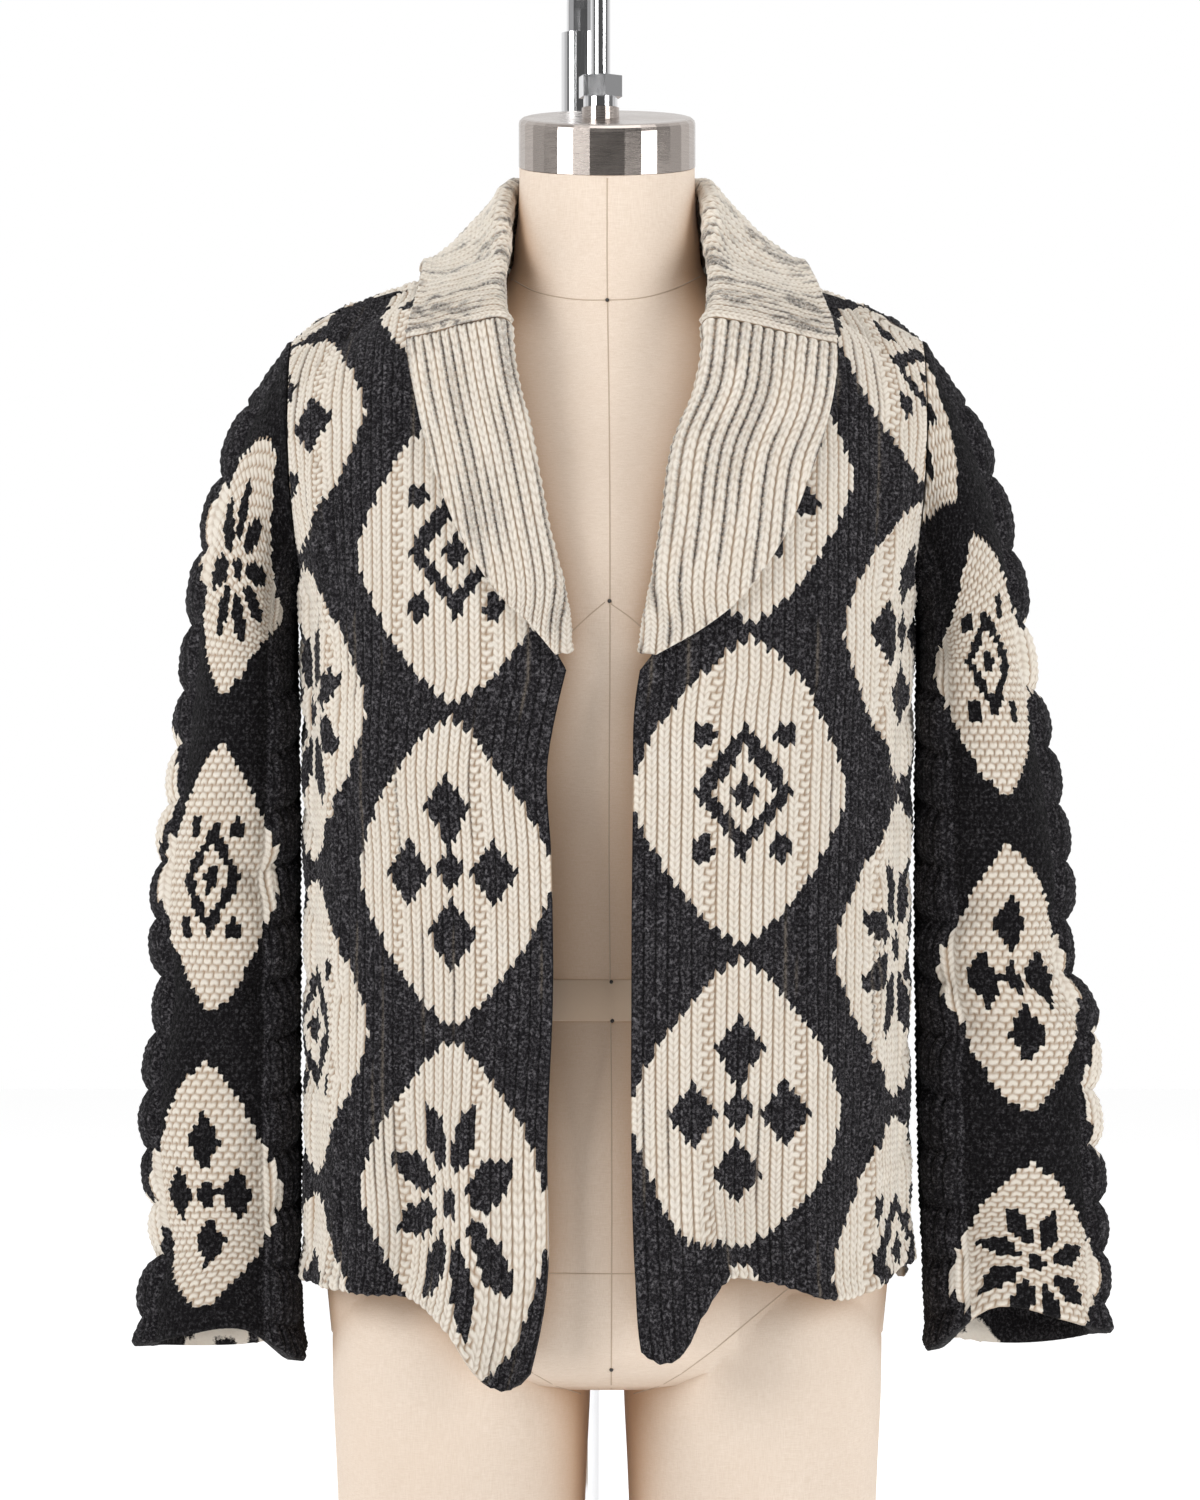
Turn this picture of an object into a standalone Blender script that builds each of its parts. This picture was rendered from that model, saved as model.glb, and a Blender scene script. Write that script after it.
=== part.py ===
"""An open hand-knit cardigan with a shawl collar, hung on a dress form on its stand.

Metres, +Z up, the front faces -Y and the viewer's right is +X. Sizes are given from the form's middle
plane, and the finished object is moved so that its origin is under the middle of the whole, on the floor.
"left" and "right" in a name are the viewer's.
"""

import bmesh
import bpy
import numpy as np
from math import cos, pi, radians, sin, tan
from mathutils import Matrix, Vector
from mathutils.bvhtree import BVHTree


def table(columns, *rows):
    """Named columns of numbers from the rows of a short table."""
    return dict(zip(columns.split(), np.array(rows, float).T))


# The knitted wall
WALL = 0.004
SEAM = 0.0005  # gap between two pieces sewn together
ARMHOLE_SEAM = 0.0008
INNER_STEP = 2  # the plain inner face has one row for this many outer rows
POWER = 2.6  # squareness of the body's sections

# The body of the cardigan
HEM_Z = 0.286
ARMPIT_Z = 0.700
TIP_Z = 0.857  # end of the shoulder seam
NECK_HALF = 0.072  # from the centre to the neck end of the shoulder seam
SIDE_Y = 0.005  # side seams, shoulder seams and the middle of the armholes
ARMHOLE_FRONT = 0.058
ARMHOLE_BACK = 0.062
NECK_LINE_RISE = 0.2689  # the shoulder line is BACK_NECK_Z + rise * x - drop * x * x
NECK_LINE_DROP = 2.412
BACK_NECK_Z = 0.893
BODY_ROWS = 24  # rows from the hem to the armpit
ARMHOLE_ROWS = 12
BODY = table(
    "z half_width front back spread roundness",
    (0.220, 0.1830, 0.132, 0.139, 0.1830, 2.6),
    (0.300, 0.1815, 0.131, 0.139, 0.1815, 2.6),
    (0.400, 0.1800, 0.129, 0.136, 0.1800, 2.6),
    (0.500, 0.1800, 0.131, 0.130, 0.1800, 2.6),
    (0.600, 0.1810, 0.137, 0.127, 0.1810, 2.6),
    (0.660, 0.1820, 0.142, 0.127, 0.1820, 2.6),
    (0.700, 0.1840, 0.141, 0.127, 0.1840, 2.5),
    (0.740, 0.1880, 0.132, 0.125, 0.1880, 2.1),
    (0.780, 0.1910, 0.117, 0.121, 0.1910, 1.8),
    (0.820, 0.1920, 0.099, 0.112, 0.1850, 1.7),
    (0.845, 0.1920, 0.082, 0.095, 0.1350, 1.9),
    (0.857, 0.1920, 0.072, 0.076, 0.0730, 2.2),
)
LEFT_EDGE = table(
    "z x",
    (0.230, 0.050),
    (0.284, 0.038),
    (0.376, 0.036),
    (0.461, 0.032),
    (0.546, 0.033),
    (0.601, 0.035),
    (0.629, 0.030),
    (0.662, 0.022),
)
RIGHT_EDGE = table(
    "z x",
    (0.230, 0.026),
    (0.254, 0.020),
    (0.302, 0.016),
    (0.376, 0.014),
    (0.461, 0.014),
    (0.577, 0.015),
    (0.638, 0.0165),
    (0.660, 0.020),
)
LEFT_HEM = table(
    "x z",
    (0.036, 0.244),
    (0.049, 0.232),
    (0.060, 0.234),
    (0.087, 0.266),
    (0.105, 0.281),
    (0.140, 0.286),
    (0.183, 0.288),
)
RIGHT_HEM = table(
    "x z",
    (0.016, 0.256),
    (0.028, 0.249),
    (0.040, 0.254),
    (0.054, 0.278),
    (0.066, 0.295),
    (0.090, 0.295),
    (0.150, 0.284),
    (0.183, 0.300),
)
HEM_SETTLE = 0.10  # height over which the uneven hem evens out
FRONT_FOLDS = table(
    "x drift depth width top",
    (-0.150, -0.004, 0.006, 0.016, 0.58),
    (-0.118, 0.010, -0.010, 0.017, 0.52),
    (-0.086, 0.012, 0.013, 0.016, 0.49),
    (-0.052, 0.010, -0.009, 0.015, 0.44),
    (0.052, -0.010, 0.011, 0.017, 0.50),
    (0.088, -0.006, -0.009, 0.016, 0.46),
    (0.122, 0.006, 0.008, 0.017, 0.54),
    (0.158, 0.004, -0.006, 0.014, 0.48),
)
BACK_FOLDS = table(
    "x drift depth width top",
    (-0.135, 0.012, 0.010, 0.020, 0.60),
    (-0.085, 0.006, -0.009, 0.019, 0.49),
    (-0.040, 0.004, 0.010, 0.020, 0.55),
    (0.018, -0.006, -0.008, 0.020, 0.46),
    (0.070, -0.004, 0.012, 0.019, 0.58),
    (0.130, -0.010, -0.009, 0.019, 0.52),
)

# Raised rope cables: distance from the side seam, half width, height and pitch of their lumps
CABLES = table(
    "from_side half_width height pitch",
    (0.032, 0.017, 0.0062, 0.0517),
    (0.086, 0.011, 0.0045, 0.0517),
)
SIDE_COLUMNS = (0.0, 0.015, 0.0235, 0.032, 0.0405, 0.049, 0.062, 0.075, 0.086, 0.097)
FRONT_COLUMNS = 8  # columns between the front edge and the cables
BACK_SIDE_COLUMNS = (0.0, 0.015, 0.0235, 0.032, 0.0405, 0.049)
BACK_COLUMNS = 7
BACK_PHASE = 0.0259  # the back's lumps lie between the front's
CABLE_FADE = 0.032  # a cable that meets the armhole fades out over this width

# The lapels and the collar, as one ribbon rolled over outwards
LAPEL_Z = table(
    "z left_roll left_outer right_roll right_outer",
    (0.664, 0.0214, 0.030, 0.0185, 0.028),
    (0.684, 0.0215, 0.045, 0.0205, 0.056),
    (0.706, 0.0250, 0.065, 0.0245, 0.079),
    (0.742, 0.0335, 0.086, 0.0310, 0.102),
    (0.785, 0.0420, 0.102, 0.0370, 0.119),
    (0.821, 0.0500, 0.111, 0.0505, 0.130),
    (0.858, 0.0565, 0.117, 0.0555, 0.134),
    (0.878, 0.0590, 0.113, 0.0585, 0.129),
)
JOIN = 6  # the row of that table where the lapel meets the collar
LAPEL_SEAM = 0.012  # from the roll to the seam under it
LAPEL_JOIN = 0.0032  # from the lapel's seam to the front's edge
SEAM_SHIFT = 0.010  # the front's edge steps in this far below the lapel's tip
LAPEL_ROWS = 14
LAPEL_SLANT = 0.15  # fall of a lapel's rows from the roll to the outer edge
LAPEL_LIE = 0.0017  # gap under the lapel's outer edge
ROLL_RADIUS = 0.0055
TIP_RADIUS = 0.0030
SECTION = (2, 4, 6)  # steps under, round and over the roll
COLLAR_ROWS = 32
COLLAR = table(
    "roll_x roll_y roll_z seam_x seam_y seam_z outer_x outer_y outer_z belly",
    (-0.0625, -0.048, 0.909, -0.0700, -0.046, 0.890, -0.112, -0.038, 0.894, 0.16),
    (-0.0625, -0.020, 0.936, -0.0695, -0.013, 0.902, -0.112, -0.004, 0.9035, 0.22),
    (-0.0585, 0.018, 0.955, -0.0665, 0.034, 0.907, -0.112, 0.044, 0.899, 0.22),
    (-0.0380, 0.052, 0.960, -0.0440, 0.070, 0.904, -0.078, 0.108, 0.881, 0.15),
    (0.0000, 0.061, 0.962, 0.0000, 0.080, 0.902, 0.000, 0.124, 0.872, 0.12),
    (0.0380, 0.052, 0.960, 0.0440, 0.070, 0.904, 0.078, 0.108, 0.881, 0.15),
    (0.0585, 0.018, 0.956, 0.0665, 0.034, 0.907, 0.117, 0.044, 0.899, 0.26),
    (0.0625, -0.020, 0.942, 0.0695, -0.013, 0.902, 0.120, -0.004, 0.9025, 0.30),
    (0.0625, -0.048, 0.912, 0.0700, -0.046, 0.890, 0.126, -0.038, 0.890, 0.22),
)

# The sleeves: inner and outer x of the hanging tube, its depth and its middle
LEFT_SLEEVE = table(
    "z inner outer half_depth y",
    (0.660, 0.1890, 0.2520, 0.066, 0.012),
    (0.600, 0.1880, 0.2590, 0.060, 0.013),
    (0.534, 0.1875, 0.2690, 0.055, 0.013),
    (0.495, 0.1875, 0.2715, 0.053, 0.012),
    (0.464, 0.1870, 0.2680, 0.051, 0.011),
    (0.409, 0.1870, 0.2755, 0.049, 0.008),
    (0.376, 0.1865, 0.2770, 0.047, 0.006),
    (0.327, 0.1865, 0.2725, 0.045, 0.004),
    (0.302, 0.1870, 0.2690, 0.044, 0.003),
    (0.278, 0.1860, 0.2770, 0.043, 0.002),
    (0.240, 0.1840, 0.2790, 0.042, 0.001),
)
RIGHT_SLEEVE = table(
    "z inner outer half_depth y",
    (0.660, 0.1890, 0.2530, 0.066, 0.012),
    (0.595, 0.1885, 0.2680, 0.060, 0.013),
    (0.534, 0.1880, 0.2770, 0.055, 0.013),
    (0.470, 0.1880, 0.2800, 0.051, 0.011),
    (0.448, 0.1885, 0.2910, 0.050, 0.010),
    (0.406, 0.1890, 0.2925, 0.048, 0.008),
    (0.333, 0.1905, 0.2960, 0.045, 0.005),
    (0.278, 0.1930, 0.2985, 0.043, 0.003),
    (0.240, 0.1940, 0.2985, 0.042, 0.002),
)
SLEEVE_POWER = 2.2
SLEEVE_TOP_ROWS = 12
SLEEVE_ROWS = 24
HANG_Z = 0.660  # the sleeve hangs straight down below this
CUFF_Z = 0.244
CUFF_WAVES = table(
    "around left right",
    (0, 0.000, 0.008),
    (60, 0.010, 0.020),
    (100, 0.015, 0.028),
    (150, -0.006, 0.001),
    (210, 0.002, 0.004),
    (270, -0.004, -0.003),
    (360, 0.000, 0.008),
)
SLEEVE_CABLES = table(
    "around half_width height",
    (10, 19, 0.0075),
    (140, 19, 0.0045),
    (236, 19, 0.0045),
)
SLEEVE_COLUMNS = (
    (-9, 0.5, 10, 19.5, 29, 58, 90)
    + (121, 130.5, 140, 149.5, 159, 186)
    + (217, 226.5, 236, 245.5, 255, 286, 318)
)
BY_THE_BODY = 0.215  # cables are lower at the top of the sleeve, nearer to the middle than this

# The dress form
FORM_POWER = 2.15
FORM_SEGMENTS = 32
FORM = table(
    "z half_width front back lean",
    (0.2240, 0.0900, 0.055, 0.062, 0),
    (0.2290, 0.1280, 0.077, 0.087, 0),
    (0.2380, 0.1540, 0.090, 0.102, 0),
    (0.2540, 0.1680, 0.098, 0.112, 0),
    (0.290, 0.1715, 0.102, 0.119, 0),
    (0.330, 0.1690, 0.101, 0.118, 0),
    (0.380, 0.1560, 0.098, 0.106, 0),
    (0.430, 0.1300, 0.091, 0.089, 0),
    (0.460, 0.1210, 0.087, 0.082, 0),
    (0.500, 0.1240, 0.090, 0.085, 0),
    (0.560, 0.1320, 0.099, 0.094, 0),
    (0.620, 0.1400, 0.114, 0.102, 0),
    (0.690, 0.1480, 0.127, 0.107, 0),
    (0.730, 0.1540, 0.119, 0.108, 0),
    (0.770, 0.1630, 0.103, 0.107, 0),
    (0.805, 0.1690, 0.088, 0.102, 2),
    (0.830, 0.1640, 0.078, 0.092, 4),
    (0.848, 0.1460, 0.072, 0.082, 7),
    (0.864, 0.1130, 0.068, 0.073, 10),
    (0.878, 0.0810, 0.065, 0.065, 13),
    (0.893, 0.0625, 0.062, 0.058, 14),
    (0.920, 0.0560, 0.057, 0.052, 13),
    (0.950, 0.0535, 0.056, 0.048, 12),
    (0.9635, 0.0535, 0.056, 0.048, 12),
)
LEG_X = 0.0885
LEG = table(
    "z half_width depth",
    (0.110, 0.0735, 0.087),
    (0.170, 0.0760, 0.089),
    (0.232, 0.0785, 0.0895),
    (0.262, 0.0780, 0.088),
    (0.300, 0.0690, 0.080),
)
CAP_LEAN = 12
CAP_HEIGHT = 0.030
CAP_HALF = (0.0538, 0.0528)
CAP_ROUND = 0.004

# The metal parts and the stand
ROD_X = -0.004
ROD_Y = -0.0035
ROD_RADIUS = 0.006
ROD_TOP = 1.080
NUT_ACROSS = 0.0240
NUT_Z = (1.0050, 1.0180)
FLANGE_RADIUS = 0.0104
FLANGE_Z = 0.9990
POLE_RADIUS = 0.0125
POLE_X = -0.017
POLE_Y = 0.215
POLE_TOP = 1.075
ARM_RADIUS = 0.009
ARM_RISE = 0.045
ARM_BEND = 0.030
BASE_RADIUS = 0.240
BASE_THICK = 0.008
GAP = 0.0003

MIDDLE_X = 0.0098  # the right sleeve hangs further out, so the whole object's middle is here

for old in list(bpy.data.objects):
    bpy.data.objects.remove(old)
parts = bpy.data.collections.new("cardigan_on_dress_form")
bpy.context.scene.collection.children.link(parts)


def smooth(x, xs, ys):
    """A cubic curve through the points (xs, ys), each slope taken from the neighbours."""
    xs = np.asarray(xs, float)
    ys = np.asarray(ys, float)
    x = np.clip(np.asarray(x, float), xs[0], xs[-1])
    slope = np.gradient(ys, xs, axis=0)
    i = np.clip(np.searchsorted(xs, x, side="right") - 1, 0, len(xs) - 2)
    h = xs[i + 1] - xs[i]
    t = (x - xs[i]) / h
    if ys.ndim > 1:
        t = t[..., None]
        h = h[..., None]
    near = (1 + 2 * t) * (1 - t) ** 2 * ys[i] + t * t * (3 - 2 * t) * ys[i + 1]
    return near + h * (t * (1 - t) ** 2 * slope[i] + t * t * (t - 1) * slope[i + 1])


def ease(t):
    t = np.clip(t, 0, 1)
    return t * t * (3 - 2 * t)


def unit(v):
    return v / np.maximum(np.linalg.norm(v, axis=-1, keepdims=True), 1e-12)


def material(name, color, roughness, metallic=0.0):
    made = bpy.data.materials.new(name)
    made.use_nodes = True
    shader = made.node_tree.nodes["Principled BSDF"]
    shader.inputs["Base Color"].default_value = (*color, 1)
    shader.inputs["Roughness"].default_value = roughness
    shader.inputs["Metallic"].default_value = metallic
    return made


def add_mesh(name, points, faces, finish):
    """An object of these faces, turned to face out."""
    mesh = bpy.data.meshes.new(name)
    mesh.from_pydata([tuple(p) for p in points], [], faces)
    bm = bmesh.new()
    bm.from_mesh(mesh)
    bmesh.ops.recalc_face_normals(bm, faces=bm.faces)
    if bm.calc_volume(signed=True) < 0:
        bmesh.ops.reverse_faces(bm, faces=bm.faces)
    bm.to_mesh(mesh)
    bm.free()
    mesh.shade_smooth()
    mesh.materials.append(finish)
    made = bpy.data.objects.new(name, mesh)
    parts.objects.link(made)
    return made


def wall(name, outer, inner, finish, tube=False):
    """A closed wall between a fine outer grid of points and a coarser inner one, both rows by columns."""
    rows, cols = outer.shape[:2]
    step = (rows - 1) // (inner.shape[0] - 1)
    around = cols if tube else cols - 1
    base = rows * cols

    def out(r, c):
        return r * cols + c % cols

    def inn(r, c):
        return base + (r // step) * cols + c % cols

    faces = []
    for c in range(around):
        for r in range(rows - 1):
            faces.append((out(r, c), out(r, c + 1), out(r + 1, c + 1), out(r + 1, c)))
        for r in range(0, rows - 1, step):
            faces.append((inn(r, c), inn(r + step, c), inn(r + step, c + 1), inn(r, c + 1)))
        for r in (0, rows - 1):
            rim = (out(r, c), inn(r, c), inn(r, c + 1), out(r, c + 1))
            faces.append(rim if r == 0 else rim[::-1])
    if not tube:
        for c in (0, cols - 1):
            for r in range(0, rows - 1, step):
                side = [out(r + k, c) for k in range(step + 1)] + [inn(r + step, c), inn(r, c)]
                faces.append(side if c == 0 else side[::-1])
    return add_mesh(name, np.concatenate([outer.reshape(-1, 3), inner.reshape(-1, 3)]), faces, finish)


def grid_normals(grid, tube=False):
    """Unit normals of a grid of points, pointing to the side of columns x rows."""
    down = np.gradient(grid, axis=0)
    if tube:
        across = (np.roll(grid, -1, axis=1) - np.roll(grid, 1, axis=1)) / 2
    else:
        across = np.gradient(grid, axis=1)
    return unit(np.cross(across, down))


# The body's surface


def body(column, z):
    return smooth(z, BODY["z"], BODY[column])


def shoulder_line(x):
    return BACK_NECK_Z + NECK_LINE_RISE * x - NECK_LINE_DROP * x * x


def armhole_share(z_side):
    """How far the armhole is open at a height, from 0 at its ends to 1 in the middle."""
    middle = (ARMPIT_Z + TIP_Z) / 2
    t = (z_side - middle) / (TIP_Z - middle)
    return np.sqrt(np.clip(1 - t * t, 0, 1)) * (z_side > ARMPIT_Z)


def fold_offset(x, z, folds):
    total = np.zeros(np.broadcast(x, z).shape)
    for at, drift, depth, width, top in zip(*(folds[c] for c in "x drift depth width top".split())):
        grown = ease((top - z) / (top - HEM_Z))
        middle = at + drift * (1 - grown)
        total = total + depth * grown * np.exp(-(((x - middle) / width) ** 2))
    return total


def body_point(x, z_side, side, mirror):
    """The outer surface at x along the row that meets the side seam or armhole at z_side.

    side is -1 in front and 1 behind, and mirror is -1 for the viewer's left.
    """
    half = body("half_width", z_side)
    opening = armhole_share(z_side)
    reach = ARMHOLE_FRONT if side < 0 else ARMHOLE_BACK
    edge_y = SIDE_Y + side * (reach * opening + SEAM / 2)
    full_y = side * body("front" if side < 0 else "back", z_side)
    spread = body("spread", z_side)
    share = np.minimum(x / spread, 1)
    shape = np.clip(1 - share**POWER, 0, 1) ** (1 / body("roundness", z_side))
    lift = np.clip((z_side - ARMPIT_Z) / (TIP_Z - ARMPIT_Z), 0, 1) ** 1.3
    z = z_side + lift * (shoulder_line(x) - shoulder_line(half))
    folds = FRONT_FOLDS if side < 0 else BACK_FOLDS
    y = full_y * shape + edge_y * (1 - shape) ** (3 - opening)
    y = y + side * fold_offset(mirror * x, z, folds) * ease(shape * 1.6)
    return np.stack([mirror * x, y, z + 0 * x], axis=-1)


def lapel(column, z):
    return smooth(z, LAPEL_Z["z"], LAPEL_Z[column])


def seam_width(z):
    """From the roll to the seam, narrow at the break and full above."""
    return TIP_RADIUS + 0.001 + (LAPEL_SEAM - TIP_RADIUS - 0.001) * ease((z - LAPEL_Z["z"][0]) / 0.06)


def roll_radius(z):
    return TIP_RADIUS + (ROLL_RADIUS - TIP_RADIUS) * ease((z - LAPEL_Z["z"][0]) / 0.06)


def front_edge(z, name):
    """Distance from the centre to the front's inner edge: the free edge, the lapel's seam, the neckline."""
    edge = LEFT_EDGE if name == "left" else RIGHT_EDGE
    low = smooth(z, edge["z"], edge["x"])
    start = LAPEL_Z["z"][0] - SEAM_SHIFT
    seam = lapel(name + "_roll", z) + seam_width(z) + LAPEL_JOIN
    x = low + (seam - low) * ease((z - start) / 0.006)
    neck = ease((z - 0.845) / 0.015)
    return x + (NECK_HALF + 0.0015 - x) * neck


def row_by_arc(z_side, side, mirror, start, near, columns):
    """Values of x along a row: near the side at these distances from it, then evenly to the row's start."""
    x, run = row_run(z_side, side, mirror, start)
    from_side = run[-1] - run
    reach = min(near[-1], 0.8 * from_side[0])
    near = np.array(near) * reach / near[-1]
    far = reach + (from_side[0] - reach) * np.arange(1, columns + 1) / columns
    wanted = np.concatenate([near, far])
    return np.interp(wanted, from_side[::-1], x[::-1]), wanted


def row_levels():
    low = np.linspace(HEM_Z, ARMPIT_Z, BODY_ROWS + 1)
    turn = np.linspace(0, pi, ARMHOLE_ROWS + 1)[1:]
    high = (ARMPIT_Z + TIP_Z) / 2 - (TIP_Z - ARMPIT_Z) / 2 * np.cos(turn)
    return np.concatenate([low, high])


def row_run(z_side, side, mirror, start):
    """Closely spaced x along a row and the distance of each from the row's start."""
    half = float(body("half_width", z_side))
    x = start + (half - start) * np.sin(np.linspace(0, pi / 2, 240))
    points = body_point(x, z_side, side, mirror)
    steps = np.linalg.norm(np.diff(points, axis=0), axis=1)
    return x, np.concatenate([[0], np.cumsum(steps)])


def cut_away(z_side, side, mirror):
    """Width that the armhole takes from a row, against the row at the armpit."""
    if z_side <= ARMPIT_Z:
        return 0.0
    return row_run(ARMPIT_Z, side, mirror, 0.0)[1][-1] - row_run(z_side, side, mirror, 0.0)[1][-1]


def cable_height(from_side, along):
    total = np.zeros(np.broadcast(from_side, along).shape)
    for at, half, height, pitch in zip(*(CABLES[c] for c in "from_side half_width height pitch".split())):
        across = np.clip(1 - ((from_side - at) / half) ** 2, 0, 1)
        lump = 0.55 + 0.45 * np.cos(2 * pi * along / pitch + 40 * (from_side - at))
        total = total + height * across * lump
    return total


def half_grid(side, mirror, near, columns, edge_of, hem_of):
    """Outer points and relief from the inner edge to the side, rows from the hem to the shoulder."""
    rows = []
    relief = []
    along = 0.0
    before = None
    for z_side in row_levels():
        start = 0.0
        if edge_of:
            start = 0.03
            for _ in range(6):
                start = float(edge_of(body_point(np.array([start]), z_side, side, mirror)[0, 2]))
        x, from_side = row_by_arc(z_side, side, mirror, start, near, columns)
        points = body_point(x, z_side, side, mirror)
        if hem_of:
            drop = (hem_of(np.abs(points[:, 0])) - HEM_Z) * (1 - ease((z_side - HEM_Z) / HEM_SETTLE))
            points[:, 2] += drop
            if edge_of:
                edge_x = edge_of(points[-1, 2])
                slide = (x - x[0]) / (x[-1] - x[0])
                points[:, 0] += mirror * (edge_x - x[-1]) * slide
        if before is not None:
            along += points[0, 2] - before
        before = points[0, 2]
        rows.append(points)
        flat = from_side + cut_away(z_side, side, mirror)
        height = cable_height(flat, along + (BACK_PHASE if side > 0 else 0.0))
        fade = CABLE_FADE if z_side > ARMPIT_Z else SIDE_COLUMNS[1]
        relief.append(height * ease(from_side / fade))
    return np.array(rows), np.array(relief)


def seam_normals(normals, levels, cols_at_side):
    """Normals square to each seam, so that two sewn walls stay apart."""
    for r, z_side in enumerate(levels):
        for c in cols_at_side:
            drop = 0 if z_side > ARMPIT_Z + 0.001 else 1
            normals[r, c, drop] = 0
    normals[-1, :, 1] = 0
    return unit(normals)


def finish_wall(name, grid, relief, normals, finish, tube=False):
    outer = grid + normals * relief[..., None]
    inner = (grid - normals * WALL)[::INNER_STEP]
    wall(name, outer, inner, finish, tube)
    return outer


def make_front(name, mirror, finish):
    side_name = "left" if mirror < 0 else "right"
    hem = LEFT_HEM if mirror < 0 else RIGHT_HEM
    grid, relief = half_grid(
        -1,
        mirror,
        SIDE_COLUMNS,
        FRONT_COLUMNS,
        lambda z: front_edge(z, side_name),
        lambda x: smooth(x, hem["x"], hem["z"]),
    )
    normals = grid_normals(grid)
    if normals[5, 5, 1] > 0:
        normals = -normals
    normals = seam_normals(normals, row_levels(), (0,))
    under_lapel = ease((grid[..., 2] - 0.66) / 0.02) * (np.abs(grid[..., 0]) < 0.14)
    relief = relief * (1 - under_lapel)
    return finish_wall(name, grid, relief, normals, finish)


def make_back(finish):
    left, relief_left = half_grid(1, -1, BACK_SIDE_COLUMNS, BACK_COLUMNS, None, None)
    right, relief_right = half_grid(1, 1, BACK_SIDE_COLUMNS, BACK_COLUMNS, None, None)
    grid = np.concatenate([left, right[:, -2::-1]], axis=1)
    relief = np.concatenate([relief_left, relief_right[:, -2::-1]], axis=1)
    normals = grid_normals(grid)
    if normals[5, 12, 1] < 0:
        normals = -normals
    last = grid.shape[1] - 1
    neck = np.abs(grid[-1, :, 0]) < NECK_HALF
    neck_normals = normals[-1, neck].copy()
    normals = seam_normals(normals, row_levels(), (0, last))
    normals[-1, neck] = neck_normals
    under_collar = ease((grid[..., 2] - 0.84) / 0.02) * (np.abs(grid[..., 0]) < 0.14)
    return finish_wall("back", grid, relief * (1 - under_collar), normals, finish)


# The sleeves


def armhole_point(angle, mirror):
    """A point on the armhole: 0 degrees is the shoulder, 90 the front, 180 the armpit."""
    z = (ARMPIT_Z + TIP_Z) / 2 + (TIP_Z - ARMPIT_Z) / 2 * np.cos(np.radians(angle))
    a = np.radians(angle)
    reach = np.where(np.sin(a) > 0, ARMHOLE_FRONT, ARMHOLE_BACK)
    y = SIDE_Y - reach * np.sin(a)
    return np.stack([mirror * (body("half_width", z) + ARMHOLE_SEAM), y, z], axis=-1)


def hanging_ring(angle, z, sizes, mirror):
    """A ring of the hanging sleeve: 0 degrees is its outer side, 90 the front, 180 the body side."""
    inner = smooth(z, sizes["z"][::-1], sizes["inner"][::-1])
    outer = smooth(z, sizes["z"][::-1], sizes["outer"][::-1])
    depth = smooth(z, sizes["z"][::-1], sizes["half_depth"][::-1])
    middle_y = smooth(z, sizes["z"][::-1], sizes["y"][::-1])
    a = np.radians(angle)
    wide = np.sign(np.cos(a)) * np.abs(np.cos(a)) ** (2 / SLEEVE_POWER)
    deep = np.sign(np.sin(a)) * np.abs(np.sin(a)) ** (2 / SLEEVE_POWER)
    x = (inner + outer) / 2 + (outer - inner) / 2 * wide
    return np.stack([mirror * x, middle_y - depth * deep, z + 0 * x], axis=-1)


def make_sleeve(name, mirror, finish):
    side_name = "left" if mirror < 0 else "right"
    sizes = LEFT_SLEEVE if mirror < 0 else RIGHT_SLEEVE
    angle = np.array(SLEEVE_COLUMNS, float)
    start = armhole_point(angle, mirror)
    end = hanging_ring(angle, HANG_Z, sizes, mirror)
    gap = np.linalg.norm(end - start, axis=-1, keepdims=True)
    leave = np.array([mirror * 0.55, 0, -0.84]) * gap
    arrive = np.array([mirror * 0.08, 0, -1.0]) * gap
    rows = []
    for t in np.linspace(0, 1, SLEEVE_TOP_ROWS + 1)[:-1]:
        rows.append(
            (1 + 2 * t) * (1 - t) ** 2 * start
            + t * t * (3 - 2 * t) * end
            + t * (1 - t) ** 2 * leave
            + t * t * (t - 1) * arrive
        )
    cuff = smooth(angle % 360, CUFF_WAVES["around"], CUFF_WAVES[side_name])
    for z in np.linspace(HANG_Z, CUFF_Z, SLEEVE_ROWS + 1):
        low = cuff * ease((HANG_Z - 0.3 - z) / (HANG_Z - 0.3 - CUFF_Z))
        ring = hanging_ring(angle, z, sizes, mirror)
        ring[:, 2] += low
        rows.append(ring)
    grid = np.array(rows)
    normals = grid_normals(grid, tube=True)
    middle = grid.mean(axis=1, keepdims=True)
    normals = normals * np.sign((normals * (grid - middle)).sum(axis=-1).mean())
    normals[0, :, 0] = 0
    normals = unit(normals)
    relief = np.zeros(grid.shape[:2])
    for at, half, height in zip(*(SLEEVE_CABLES[c] for c in "around half_width height".split())):
        across = np.clip(1 - ((angle - at) / half) ** 2, 0, 1)
        lump = np.where(np.arange(len(rows)) % 2, 0.30, 1.0) * ease(np.arange(len(rows)) / 3)
        relief += height * lump[:, None] * across[None]
    top = np.arange(len(rows))[:, None] < SLEEVE_TOP_ROWS + 2
    relief *= np.where((np.abs(grid[..., 0]) < BY_THE_BODY) & top, 0.35, 1)
    return finish_wall(name, grid, relief, normals, finish, tube=True)


# The lapels and the collar


def front_surface(x, z, mirror):
    """The front's outer surface at x and z, and its normal, for what lies on it."""
    z_side = z
    for _ in range(12):
        z_side = z_side + (z - body_point(np.array([x]), z_side, -1, mirror)[0, 2])
    step = 0.002
    here = body_point(np.array([x]), z_side, -1, mirror)[0]
    across = body_point(np.array([x + step]), z_side, -1, mirror)[0] - here
    up = body_point(np.array([x]), z_side + step, -1, mirror)[0] - here
    normal = unit(np.cross(across, up))
    if normal[1] > 0:
        normal = -normal
    return here, normal


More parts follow.
